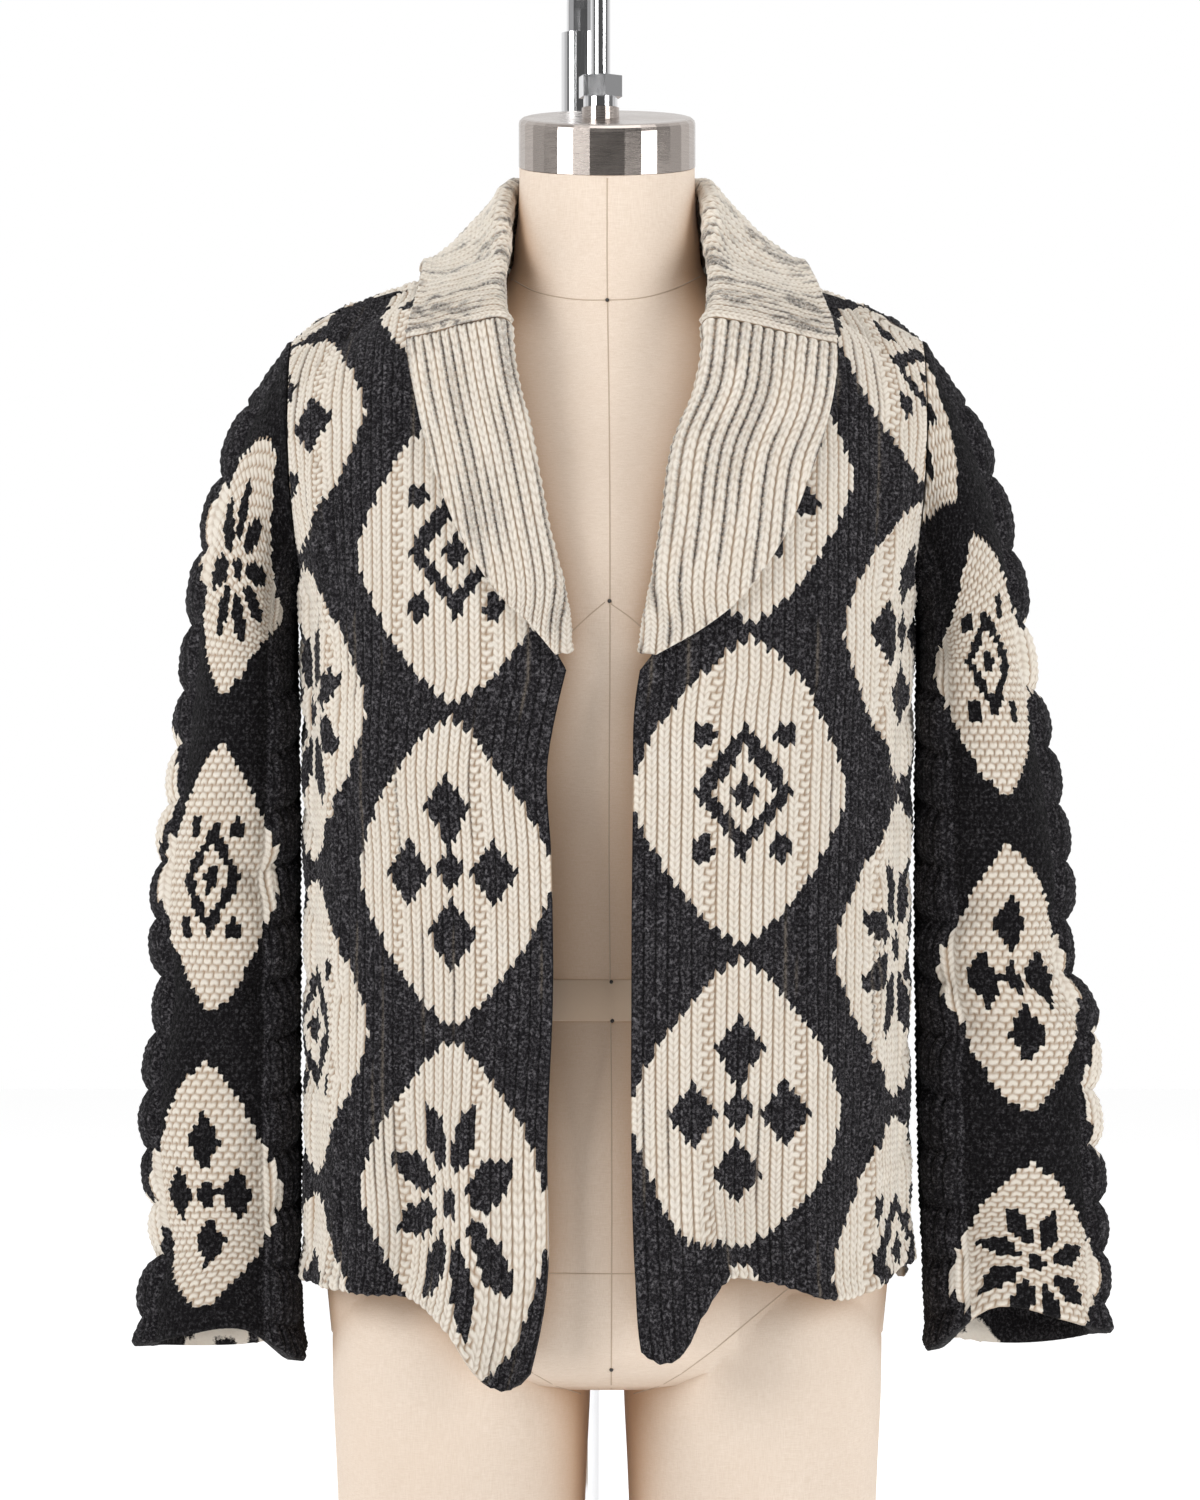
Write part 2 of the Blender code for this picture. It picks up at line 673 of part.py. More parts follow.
def outward(points, normal, lie):
    """Normals of a section's points, square to its run, on its convex side."""
    along = np.gradient(points, axis=0)
    out = unit(np.cross(along, np.cross(normal, lie)))
    turned = out[SECTION[0] + SECTION[1] // 2] @ lie
    return -out if turned > 0 else out


def rolled(seam, centre, normal, lie, radius):
    """The section's points from the seam to the top of the roll."""
    under, turn = SECTION[:2]
    start = centre - normal * radius
    points = [seam + (start - seam) * k / under for k in range(under)]
    for k in range(turn):
        a = pi * k / turn
        points.append(centre - normal * radius * cos(a) - lie * radius * sin(a))
    return points


def lapel_section(z, name, mirror):
    """A section of the lapel's middle surface: it follows the front, moved out."""
    radius = float(roll_radius(z))
    roll_x = float(lapel(name + "_roll", z)) + WALL / 2
    seam_x = roll_x + float(seam_width(z)) - WALL / 2
    outer_x = max(float(lapel(name + "_outer", z)), roll_x + radius + 0.003)
    seam, normal = front_surface(seam_x, z, mirror)
    roll, _ = front_surface(roll_x, z, mirror)
    lie = unit(seam - roll)
    normal = unit(normal - lie * (normal @ lie))
    centre = roll + lie * radius + normal * (radius - WALL / 2)
    points = rolled(seam - normal * WALL / 2, centre, normal, lie, radius)
    top = SECTION[2]
    for k in range(top + 1):
        t = k / top
        x = roll_x + radius + (outer_x - roll_x - radius) * t
        here, up = front_surface(x, z - LAPEL_SLANT * (outer_x - roll_x) * t, mirror)
        lift = (2 * radius - WALL / 2) * (1 - ease(t)) + (WALL / 2 + LAPEL_LIE) * ease(t)
        points.append(here + up * lift)
    points = np.array(points)
    return points, outward(points, normal, lie)


def collar_section(row):
    """A section of the collar: it stands up from its seam, rolls over and falls on the shoulders."""
    roll, seam, outer = (
        np.array([COLLAR[f"{point}_{axis}"][row] for axis in "xyz"]) for point in ("roll", "seam", "outer")
    )
    lie = unit(seam - roll)
    away = np.array([seam[0], seam[1] + 0.006, 0.0])
    normal = unit(away - lie * (away @ lie))
    centre = roll + lie * ROLL_RADIUS
    points = rolled(seam, centre, normal, lie, ROLL_RADIUS)
    over = centre + normal * ROLL_RADIUS
    reach = np.linalg.norm(outer - over)
    knee = over + lie * reach * 0.45 + normal * reach * COLLAR["belly"][row]
    top = SECTION[2]
    for k in range(top + 1):
        t = k / top
        points.append((1 - t) ** 2 * over + 2 * t * (1 - t) * knee + t * t * outer)
    points = np.array(points)
    return points, outward(points, normal, lie)


def ribbon_sections():
    """All sections from the left lapel's tip round the neck to the right one's."""
    left = [lapel_section(z, "left", -1) for z in LAPEL_Z["z"]]
    right = [lapel_section(z, "right", 1) for z in LAPEL_Z["z"][::-1]]
    middle = [collar_section(r) for r in range(len(COLLAR["roll_x"]))]
    return left + middle + right


def grid_tree(grids):
    """The outer surfaces of the body's panels, for what has to stay clear of them."""
    points = []
    faces = []
    for grid in grids:
        rows, cols = grid.shape[:2]
        base = len(points)
        points += [Vector(p) for p in grid.reshape(-1, 3)]
        for r in range(rows - 1):
            for c in range(cols - 1):
                a = base + r * cols + c
                faces.append((a, a + 1, a + cols + 1, a + cols))
    return BVHTree.FromPolygons(points, faces)


def clear_of_body(mids, tree):
    """Lifts the part of the ribbon that lies on the body until it is clear."""
    need = WALL / 2 + LAPEL_LIE
    for row in mids:
        for k in range(SECTION[0] + SECTION[1] + 1, len(row)):
            for _ in range(3):
                spot, normal, _, _ = tree.find_nearest(Vector(row[k]))
                away = Vector((spot.x, spot.y, 0.4 * max(0.0, spot.z - 0.7)))
                if normal @ away < 0:
                    normal = -normal
                short = need - (Vector(row[k]) - spot) @ normal
                if short > 0:
                    row[k] += np.array(normal) * short
    return mids


def ribbon_rows(first, last, count, trim_first, trim_last, tree):
    """Rows of the ribbon between two sections, cut back at the ends by the seam's gap."""
    sections = ribbon_sections()
    keys = np.arange(len(sections), dtype=float)
    at = np.linspace(first, last, count + 1)
    mids, outs = (np.array(part).reshape(len(keys), -1) for part in zip(*sections))
    mids = clear_of_body(smooth(at, keys, mids).reshape(count + 1, -1, 3), tree)
    outs = smooth(at, keys, outs)
    outs = outs.reshape(count + 1, -1, 3)
    if trim_first:
        mids[0] += unit(mids[1] - mids[0]) * SEAM
    if trim_last:
        mids[-1] += unit(mids[-2] - mids[-1]) * SEAM
    return mids, unit(outs)


def make_ribbon(name, first, last, count, finish, trims, tree):
    mids, outs = ribbon_rows(first, last, count, *trims, tree)
    outer = mids + outs * WALL / 2
    inner = (mids - outs * WALL / 2)[::INNER_STEP]
    return wall(name, outer, inner, finish)


# The dress form and its stand


def ring(half_width, front, back, z, power, lean=0.0, centre_x=0.0, segments=FORM_SEGMENTS):
    a = np.linspace(0, 2 * pi, segments, endpoint=False)
    wide = np.sign(np.cos(a)) * np.abs(np.cos(a)) ** (2 / power)
    deep = np.sign(np.sin(a)) * np.abs(np.sin(a)) ** (2 / power)
    y = np.where(deep < 0, front, back) * deep
    return np.stack([centre_x + half_width * wide, y, z + y * tan(radians(lean))], axis=-1)


def loft(name, rings, finish):
    """A closed solid through rings of points, bottom to top, with flat ends."""
    count = len(rings[0])
    faces = []
    for r in range(len(rings) - 1):
        for c in range(count):
            d = (c + 1) % count
            faces.append((r * count + c, r * count + d, (r + 1) * count + d, (r + 1) * count + c))
    faces.append(tuple(range(count))[::-1])
    faces.append(tuple((len(rings) - 1) * count + c for c in range(count)))
    return add_mesh(name, np.concatenate(rings), faces, finish)


def boolean(target, tool, operation):
    """Applies a Boolean with a helper object, which then goes."""
    step = target.modifiers.new("join", "BOOLEAN")
    step.operation = operation
    step.object = tool
    step.solver = "EXACT"
    depsgraph = bpy.context.evaluated_depsgraph_get()
    mesh = bpy.data.meshes.new_from_object(target.evaluated_get(depsgraph))
    target.modifiers.clear()
    target.data = mesh
    bpy.data.objects.remove(tool)


def make_form(finish):
    torso = loft(
        "form_torso",
        [ring(w, f, b, z, FORM_POWER, lean) for z, w, f, b, lean in zip(*FORM.values())],
        finish,
    )
    for mirror in (-1, 1):
        rings = [
            ring(w, d, d * 1.1, z, FORM_POWER, 0, mirror * LEG_X, 28)
            for z, w, d in zip(*LEG.values())
        ]
        boolean(torso, loft("leg", rings, finish), "UNION")
    torso.data.set_sharp_from_angle(angle=radians(50))
    return torso


def cylinder(name, radius, low, high, x, y, finish, sides=40, turn=0.0):
    bm = bmesh.new()
    place = Matrix.Translation((x, y, (low + high) / 2)) @ Matrix.Rotation(turn, 4, "Z")
    bmesh.ops.create_cone(
        bm, cap_ends=True, segments=sides, radius1=radius, radius2=radius, depth=high - low, matrix=place
    )
    mesh = bpy.data.meshes.new(name)
    bm.to_mesh(mesh)
    bm.free()
    mesh.shade_smooth()
    mesh.set_sharp_from_angle(angle=radians(35))
    mesh.materials.append(finish)
    made = bpy.data.objects.new(name, mesh)
    parts.objects.link(made)
    return made


def make_cap(finish):
    """The neck cap, leaning as the neck's top does, with a rounded edge and an upright boss."""
    top = FORM["z"][-1] + GAP
    y_middle = (FORM["back"][-1] - FORM["front"][-1]) / 2
    rings = []
    profile = [(0.0, 1.0), (CAP_HEIGHT - CAP_ROUND, 1.0)]
    for k in range(1, 4):
        a = pi / 2 * k / 3
        inset = CAP_ROUND * (1 - cos(a)) / CAP_HALF[0]
        profile.append((CAP_HEIGHT - CAP_ROUND + CAP_ROUND * sin(a), 1 - inset))
    for height, scale in profile:
        points = ring(CAP_HALF[0] * scale, CAP_HALF[1] * scale, CAP_HALF[1] * scale, 0, 2.0)
        points[:, 1] += y_middle
        points[:, 2] = top + height + points[:, 1] * tan(radians(CAP_LEAN))
        rings.append(points)
    cap = loft("neck_cap", rings, finish)
    low = top + CAP_HEIGHT - 0.008
    boss = cylinder("boss", FLANGE_RADIUS + 0.001, low, FLANGE_Z - GAP, ROD_X, ROD_Y, finish, 24)
    boolean(cap, boss, "UNION")
    cap.data.set_sharp_from_angle(angle=radians(35))
    return cap


def make_nut(finish):
    across = NUT_ACROSS / 2 / cos(pi / 6)
    nut = cylinder("hex_nut", across, NUT_Z[0], NUT_Z[1], ROD_X, ROD_Y, finish, 6, radians(12))
    flange = cylinder("flange", FLANGE_RADIUS, FLANGE_Z, NUT_Z[0] + 0.001, ROD_X, ROD_Y, finish, 24)
    boolean(nut, flange, "UNION")
    bore = cylinder("bore", ROD_RADIUS + GAP, FLANGE_Z - 0.01, NUT_Z[1] + 0.01, ROD_X, ROD_Y, finish, 24)
    boolean(nut, bore, "DIFFERENCE")
    nut.data.shade_flat()
    return nut


def make_arm(finish):
    """The gooseneck from the pole's top over to the rod."""
    start = Vector((POLE_X, POLE_Y, POLE_TOP + GAP))
    end = Vector((ROD_X, ROD_Y, ROD_TOP + GAP))
    top_z = POLE_TOP + ARM_RISE
    over = Vector((end.x - start.x, end.y - start.y, 0)).normalized()
    points = [start]
    for centre, first in ((start + over * ARM_BEND, pi), (end - over * ARM_BEND, pi / 2)):
        for k in range(7):
            a = first - pi / 2 * k / 6
            rise = Vector((0, 0, sin(a) * ARM_BEND))
            middle = Vector((centre.x, centre.y, top_z - ARM_BEND))
            points.append(middle + over * (cos(a) * ARM_BEND) + rise)
    points.append(end)
    curve = bpy.data.curves.new("stand_arm", "CURVE")
    curve.dimensions = "3D"
    curve.bevel_depth = ARM_RADIUS
    curve.bevel_resolution = 4
    curve.use_fill_caps = True
    spline = curve.splines.new("POLY")
    spline.points.add(len(points) - 1)
    for p, co in zip(spline.points, points):
        p.co = (*co, 1)
    curve.materials.append(finish)
    made = bpy.data.objects.new("stand_arm", curve)
    parts.objects.link(made)
    return made


def make_base(finish):
    base = cylinder("stand_base", BASE_RADIUS, 0.0, BASE_THICK, MIDDLE_X, 0.0, finish, 48)
    bevel = base.modifiers.new("edge", "BEVEL")
    bevel.width = 0.003
    bevel.segments = 2
    bevel.limit_method = "ANGLE"
    return base


def build():
    charcoal = material("charcoal_wool", (0.030, 0.028, 0.031), 0.95)
    cream = material("cream_wool", (0.80, 0.74, 0.65), 0.95)
    canvas = material("canvas", (0.80, 0.71, 0.62), 0.90)
    brushed = material("brushed_steel", (0.62, 0.62, 0.62), 0.35, 1.0)
    chrome = material("chrome", (0.75, 0.75, 0.76), 0.12, 1.0)
    white = material("coated_iron", (0.72, 0.72, 0.71), 0.45, 0.0)

    body_grids = [
        make_back(charcoal),
        make_front("front_left", -1, charcoal),
        make_front("front_right", 1, charcoal),
    ]
    make_sleeve("sleeve_left", -1, charcoal)
    make_sleeve("sleeve_right", 1, charcoal)
    tree = grid_tree(body_grids)
    last = 2 * len(LAPEL_Z["z"]) + len(COLLAR["roll_x"]) - 1
    make_ribbon("lapel_left", 0, JOIN, LAPEL_ROWS, charcoal, (False, False), tree)
    make_ribbon("collar", JOIN, last - JOIN, COLLAR_ROWS, cream, (True, True), tree)
    make_ribbon("lapel_right", last - JOIN, last, LAPEL_ROWS, charcoal, (False, False), tree)

    make_form(canvas)
    make_cap(brushed)
    make_nut(brushed)
    cylinder("hanger_rod", ROD_RADIUS, FLANGE_Z, ROD_TOP, ROD_X, ROD_Y, chrome, 24)
    make_arm(chrome)
    cylinder("stand_pole", POLE_RADIUS, BASE_THICK + GAP, POLE_TOP, POLE_X, POLE_Y, chrome, 32)
    make_base(white)
    for made in parts.objects:
        made.location.x = -MIDDLE_X


build()
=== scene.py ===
"""The knitted cardigan's stitches, colours and folds, its dress form and stand, and the studio.

Metres, +Z up, the front faces -Y. The forms repeat the solids' own sizes, sampled finely enough for
stitches. Sizes are from the form's middle plane, and each piece is then moved by MIDDLE_X as the solids are.
"""

from math import cos, pi, radians, sin, tan

import bmesh
import bpy
import numpy as np
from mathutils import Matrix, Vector
from mathutils.bvhtree import BVHTree


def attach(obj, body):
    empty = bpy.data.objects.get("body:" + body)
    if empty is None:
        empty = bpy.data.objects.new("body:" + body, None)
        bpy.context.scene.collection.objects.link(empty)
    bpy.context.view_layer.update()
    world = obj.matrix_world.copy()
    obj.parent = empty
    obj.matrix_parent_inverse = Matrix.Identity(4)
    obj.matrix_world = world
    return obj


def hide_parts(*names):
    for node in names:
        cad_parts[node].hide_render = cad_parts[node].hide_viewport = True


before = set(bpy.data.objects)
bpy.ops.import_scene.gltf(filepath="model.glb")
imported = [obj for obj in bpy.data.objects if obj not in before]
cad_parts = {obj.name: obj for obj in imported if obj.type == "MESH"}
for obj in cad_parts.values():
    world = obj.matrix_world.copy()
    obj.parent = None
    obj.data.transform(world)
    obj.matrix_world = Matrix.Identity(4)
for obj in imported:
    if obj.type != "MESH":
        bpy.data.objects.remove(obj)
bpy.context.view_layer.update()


def table(columns, *rows):
    """Named columns of numbers from the rows of a short table."""
    return dict(zip(columns.split(), np.array(rows, float).T))


# The knitted wall
WALL = 0.004
SEAM = 0.0005  # gap between two pieces sewn together
ARMHOLE_SEAM = 0.0008
POWER = 2.6  # squareness of the body's sections

# The body of the cardigan
HEM_Z = 0.286
ARMPIT_Z = 0.700
TIP_Z = 0.857  # end of the shoulder seam
NECK_HALF = 0.072  # from the centre to the neck end of the shoulder seam
SIDE_Y = 0.005  # side seams, shoulder seams and the middle of the armholes
ARMHOLE_FRONT = 0.058
ARMHOLE_BACK = 0.062
NECK_LINE_RISE = 0.2689  # the shoulder line is BACK_NECK_Z + rise * x - drop * x * x
NECK_LINE_DROP = 2.412
BACK_NECK_Z = 0.893
BODY = table(
    "z half_width front back spread roundness",
    (0.220, 0.1830, 0.132, 0.139, 0.1830, 2.6),
    (0.300, 0.1815, 0.131, 0.139, 0.1815, 2.6),
    (0.400, 0.1800, 0.129, 0.136, 0.1800, 2.6),
    (0.500, 0.1800, 0.131, 0.130, 0.1800, 2.6),
    (0.600, 0.1810, 0.137, 0.127, 0.1810, 2.6),
    (0.660, 0.1820, 0.142, 0.127, 0.1820, 2.6),
    (0.700, 0.1840, 0.141, 0.127, 0.1840, 2.5),
    (0.740, 0.1880, 0.132, 0.125, 0.1880, 2.1),
    (0.780, 0.1910, 0.117, 0.121, 0.1910, 1.8),
    (0.820, 0.1920, 0.099, 0.112, 0.1850, 1.7),
    (0.845, 0.1920, 0.082, 0.095, 0.1350, 1.9),
    (0.857, 0.1920, 0.072, 0.076, 0.0730, 2.2),
)
LEFT_EDGE = table(
    "z x",
    (0.230, 0.050),
    (0.284, 0.038),
    (0.376, 0.036),
    (0.461, 0.032),
    (0.546, 0.033),
    (0.601, 0.035),
    (0.629, 0.030),
    (0.662, 0.022),
)
RIGHT_EDGE = table(
    "z x",
    (0.230, 0.026),
    (0.254, 0.020),
    (0.302, 0.016),
    (0.376, 0.014),
    (0.461, 0.014),
    (0.577, 0.015),
    (0.638, 0.0165),
    (0.660, 0.020),
)
LEFT_HEM = table(
    "x z",
    (0.036, 0.244),
    (0.049, 0.232),
    (0.060, 0.234),
    (0.087, 0.266),
    (0.105, 0.281),
    (0.140, 0.286),
    (0.183, 0.288),
)
RIGHT_HEM = table(
    "x z",
    (0.016, 0.256),
    (0.028, 0.249),
    (0.040, 0.254),
    (0.054, 0.278),
    (0.066, 0.295),
    (0.090, 0.295),
    (0.150, 0.284),
    (0.183, 0.300),
)
HEM_SETTLE = 0.10  # height over which the uneven hem evens out
FRONT_FOLDS = table(
    "x drift depth width top",
    (-0.150, -0.004, 0.006, 0.016, 0.58),
    (-0.118, 0.010, -0.010, 0.017, 0.52),
    (-0.086, 0.012, 0.013, 0.016, 0.49),
    (-0.052, 0.010, -0.009, 0.015, 0.44),
    (0.052, -0.010, 0.011, 0.017, 0.50),
    (0.088, -0.006, -0.009, 0.016, 0.46),
    (0.122, 0.006, 0.008, 0.017, 0.54),
    (0.158, 0.004, -0.006, 0.014, 0.48),
)
BACK_FOLDS = table(
    "x drift depth width top",
    (-0.135, 0.012, 0.010, 0.020, 0.60),
    (-0.085, 0.006, -0.009, 0.019, 0.49),
    (-0.040, 0.004, 0.010, 0.020, 0.55),
    (0.018, -0.006, -0.008, 0.020, 0.46),
    (0.070, -0.004, 0.012, 0.019, 0.58),
    (0.130, -0.010, -0.009, 0.019, 0.52),
)

# Raised rope cables: distance from the side seam, half width, height and pitch of their lumps
CABLES = table(
    "from_side half_width height pitch",
    (0.032, 0.017, 0.0062, 0.0517),
    (0.086, 0.011, 0.0045, 0.0517),
)
CABLE_EDGE = 0.015  # a cable fades out over this width at the side seam
CABLE_FADE = 0.032  # and over this width where it meets the armhole
BACK_PHASE = 0.0259  # the back's lumps lie between the front's

# The lapels and the collar, as one ribbon rolled over outwards
LAPEL_Z = table(
    "z left_roll left_outer right_roll right_outer",
    (0.664, 0.0214, 0.030, 0.0185, 0.028),
    (0.684, 0.0215, 0.045, 0.0205, 0.056),
    (0.706, 0.0250, 0.065, 0.0245, 0.079),
    (0.742, 0.0335, 0.086, 0.0310, 0.102),
    (0.785, 0.0420, 0.102, 0.0370, 0.119),
    (0.821, 0.0500, 0.111, 0.0505, 0.130),
    (0.858, 0.0565, 0.117, 0.0555, 0.134),
    (0.878, 0.0590, 0.113, 0.0585, 0.129),
)
JOIN = 6  # the row of that table where the lapel meets the collar
LAPEL_SEAM = 0.012  # from the roll to the seam under it
LAPEL_JOIN = 0.0032  # from the lapel's seam to the front's edge
SEAM_SHIFT = 0.010  # the front's edge steps in this far below the lapel's tip
LAPEL_SLANT = 0.15  # fall of a lapel's rows from the roll to the outer edge
LAPEL_LIE = 0.0017  # gap under the lapel's outer edge
ROLL_RADIUS = 0.0055
TIP_RADIUS = 0.0030
SECTION = (6, 10, 36)  # steps under, round and over the roll
COLLAR = table(
    "roll_x roll_y roll_z seam_x seam_y seam_z outer_x outer_y outer_z belly",
    (-0.0625, -0.048, 0.909, -0.0700, -0.046, 0.890, -0.112, -0.038, 0.894, 0.16),
    (-0.0625, -0.020, 0.936, -0.0695, -0.013, 0.902, -0.112, -0.004, 0.9035, 0.22),
    (-0.0585, 0.018, 0.955, -0.0665, 0.034, 0.907, -0.112, 0.044, 0.899, 0.22),
    (-0.0380, 0.052, 0.960, -0.0440, 0.070, 0.904, -0.078, 0.108, 0.881, 0.15),
    (0.0000, 0.061, 0.962, 0.0000, 0.080, 0.902, 0.000, 0.124, 0.872, 0.12),
    (0.0380, 0.052, 0.960, 0.0440, 0.070, 0.904, 0.078, 0.108, 0.881, 0.15),
    (0.0585, 0.018, 0.956, 0.0665, 0.034, 0.907, 0.117, 0.044, 0.899, 0.26),
    (0.0625, -0.020, 0.942, 0.0695, -0.013, 0.902, 0.120, -0.004, 0.9025, 0.30),
    (0.0625, -0.048, 0.912, 0.0700, -0.046, 0.890, 0.126, -0.038, 0.890, 0.22),
)

# The sleeves: inner and outer x of the hanging tube, its depth and its middle
LEFT_SLEEVE = table(
    "z inner outer half_depth y",
    (0.660, 0.1890, 0.2520, 0.066, 0.012),
    (0.600, 0.1880, 0.2590, 0.060, 0.013),
    (0.534, 0.1875, 0.2690, 0.055, 0.013),
    (0.495, 0.1875, 0.2715, 0.053, 0.012),
    (0.464, 0.1870, 0.2680, 0.051, 0.011),
    (0.409, 0.1870, 0.2755, 0.049, 0.008),
    (0.376, 0.1865, 0.2770, 0.047, 0.006),
    (0.327, 0.1865, 0.2725, 0.045, 0.004),
    (0.302, 0.1870, 0.2690, 0.044, 0.003),
    (0.278, 0.1860, 0.2770, 0.043, 0.002),
    (0.240, 0.1840, 0.2790, 0.042, 0.001),
)
RIGHT_SLEEVE = table(
    "z inner outer half_depth y",
    (0.660, 0.1890, 0.2530, 0.066, 0.012),
    (0.595, 0.1885, 0.2680, 0.060, 0.013),
    (0.534, 0.1880, 0.2770, 0.055, 0.013),
    (0.470, 0.1880, 0.2800, 0.051, 0.011),
    (0.448, 0.1885, 0.2910, 0.050, 0.010),
    (0.406, 0.1890, 0.2925, 0.048, 0.008),
    (0.333, 0.1905, 0.2960, 0.045, 0.005),
    (0.278, 0.1930, 0.2985, 0.043, 0.003),
    (0.240, 0.1940, 0.2985, 0.042, 0.002),
)
SLEEVE_POWER = 2.2
HANG_Z = 0.660  # the sleeve hangs straight down below this
CUFF_Z = 0.244
CUFF_WAVES = table("around left right", (0, 0.000, 0.008), (60, 0.010, 0.020), (100, 0.015, 0.028),
                   (150, -0.006, 0.001), (210, 0.002, 0.004), (270, -0.004, -0.003), (360, 0.000, 0.008))
SLEEVE_CABLES = table("around half_width height", (10, 19, 0.0075), (140, 19, 0.0045), (236, 19, 0.0045))
BY_THE_BODY = 0.215  # cables are lower at the top of the sleeve, nearer to the middle than this

# The dress form
FORM_POWER = 2.15
FORM = table(
    "z half_width front back lean",
    (0.2240, 0.0900, 0.055, 0.062, 0),
    (0.2290, 0.1280, 0.077, 0.087, 0),
    (0.2380, 0.1540, 0.090, 0.102, 0),
    (0.2540, 0.1680, 0.098, 0.112, 0),
    (0.290, 0.1715, 0.102, 0.119, 0),
    (0.330, 0.1690, 0.101, 0.118, 0),
    (0.380, 0.1560, 0.098, 0.106, 0),
    (0.430, 0.1300, 0.091, 0.089, 0),
    (0.460, 0.1210, 0.087, 0.082, 0),
    (0.500, 0.1240, 0.090, 0.085, 0),
    (0.560, 0.1320, 0.099, 0.094, 0),
    (0.620, 0.1400, 0.114, 0.102, 0),
    (0.690, 0.1480, 0.127, 0.107, 0),
    (0.730, 0.1540, 0.119, 0.108, 0),
    (0.770, 0.1630, 0.103, 0.107, 0),
    (0.805, 0.1690, 0.088, 0.102, 2),
    (0.830, 0.1640, 0.078, 0.092, 4),
    (0.848, 0.1460, 0.072, 0.082, 7),
    (0.864, 0.1130, 0.068, 0.073, 10),
    (0.878, 0.0810, 0.065, 0.065, 13),
    (0.893, 0.0625, 0.062, 0.058, 14),
    (0.920, 0.0560, 0.057, 0.052, 13),
    (0.950, 0.0535, 0.056, 0.048, 12),
    (0.9635, 0.0535, 0.056, 0.048, 12),
)
LEG_X = 0.0885
LEG = table(
    "z half_width depth",
    (0.110, 0.0735, 0.087),
    (0.170, 0.0760, 0.089),
    (0.232, 0.0785, 0.0895),
    (0.262, 0.0780, 0.088),
    (0.300, 0.0690, 0.080),
)

MIDDLE_X = 0.0098  # the part's middle, from the form's middle plane


def smooth(x, xs, ys):
    """A cubic curve through the points (xs, ys), each slope taken from the neighbours."""
    xs = np.asarray(xs, float)
    ys = np.asarray(ys, float)
    x = np.clip(np.asarray(x, float), xs[0], xs[-1])
    slope = np.gradient(ys, xs, axis=0)
    i = np.clip(np.searchsorted(xs, x, side="right") - 1, 0, len(xs) - 2)
    h = xs[i + 1] - xs[i]
    t = (x - xs[i]) / h
    if ys.ndim > 1:
        t = t[..., None]
        h = h[..., None]
    near = (1 + 2 * t) * (1 - t) ** 2 * ys[i] + t * t * (3 - 2 * t) * ys[i + 1]
    return near + h * (t * (1 - t) ** 2 * slope[i] + t * t * (t - 1) * slope[i + 1])


def read(sizes, z, columns):
    """Some columns of a table at a height; the table may run up or down."""
    up = np.argsort(sizes["z"])
    return [smooth(z, sizes["z"][up], sizes[c][up]) for c in columns.split()]


def ease(t):
    t = np.clip(t, 0, 1)
    return t * t * (3 - 2 * t)


def unit(v):
    return v / np.maximum(np.linalg.norm(v, axis=-1, keepdims=True), 1e-12)


def run_along(points):
    """Distance from the first of a line's points to each of them."""
    return np.concatenate([[0], np.cumsum(np.linalg.norm(np.diff(points, axis=0), axis=-1))])


def squared(a, power):
    """Cosine and sine of an angle, stretched towards a rectangle's corners."""
    return [np.sign(v) * np.abs(v) ** (2 / power) for v in (np.cos(a), np.sin(a))]


def grid_normals(grid, tube=False):
    """Unit normals of a grid of points, pointing to the side of columns x rows."""
    down = np.gradient(grid, axis=0)
    if tube:
        across = (np.roll(grid, -1, axis=1) - np.roll(grid, 1, axis=1)) / 2
    else:
        across = np.gradient(grid, axis=1)
    return unit(np.cross(across, down))


# The body's surface


def body(column, z):
    return read(BODY, z, column)[0]


def shoulder_line(x):
    return BACK_NECK_Z + NECK_LINE_RISE * x - NECK_LINE_DROP * x * x


def armhole_share(z_side):
    """How far the armhole is open at a height, from 0 at its ends to 1 in the middle."""
    middle = (ARMPIT_Z + TIP_Z) / 2
    t = (z_side - middle) / (TIP_Z - middle)
    return np.sqrt(np.clip(1 - t * t, 0, 1)) * (z_side > ARMPIT_Z)


def fold_offset(x, z, folds):
    total = np.zeros(np.broadcast(x, z).shape)
    for at, drift, depth, width, top in zip(*folds.values()):
        grown = ease((top - z) / (top - HEM_Z))
        middle = at + drift * (1 - grown)
        total = total + depth * grown * np.exp(-(((x - middle) / width) ** 2))
    return total


def body_point(x, z_side, side, mirror):
    """The outer surface at x along the row that meets the side seam or armhole at z_side.

    side is -1 in front and 1 behind, and mirror is -1 for the viewer's left.
    """
    half = body("half_width", z_side)
    opening = armhole_share(z_side)
    reach = ARMHOLE_FRONT if side < 0 else ARMHOLE_BACK
    edge_y = SIDE_Y + side * (reach * opening + SEAM / 2)
    full_y = side * body("front" if side < 0 else "back", z_side)
    spread = body("spread", z_side)
    share = np.minimum(x / spread, 1)
    shape = np.clip(1 - share**POWER, 0, 1) ** (1 / body("roundness", z_side))
    lift = np.clip((z_side - ARMPIT_Z) / (TIP_Z - ARMPIT_Z), 0, 1) ** 1.3
    z = z_side + lift * (shoulder_line(x) - shoulder_line(half))
    folds = FRONT_FOLDS if side < 0 else BACK_FOLDS
    y = full_y * shape + edge_y * (1 - shape) ** (3 - opening)
    y = y + side * fold_offset(mirror * x, z, folds) * ease(shape * 1.6)
    return np.stack([mirror * x, y, z + 0 * x], axis=-1)


def lapel(column, z):
    return read(LAPEL_Z, z, column)[0]


def seam_width(z):
    """From the roll to the seam, narrow at the break and full above."""
    return TIP_RADIUS + 0.001 + (LAPEL_SEAM - TIP_RADIUS - 0.001) * ease((z - LAPEL_Z["z"][0]) / 0.06)


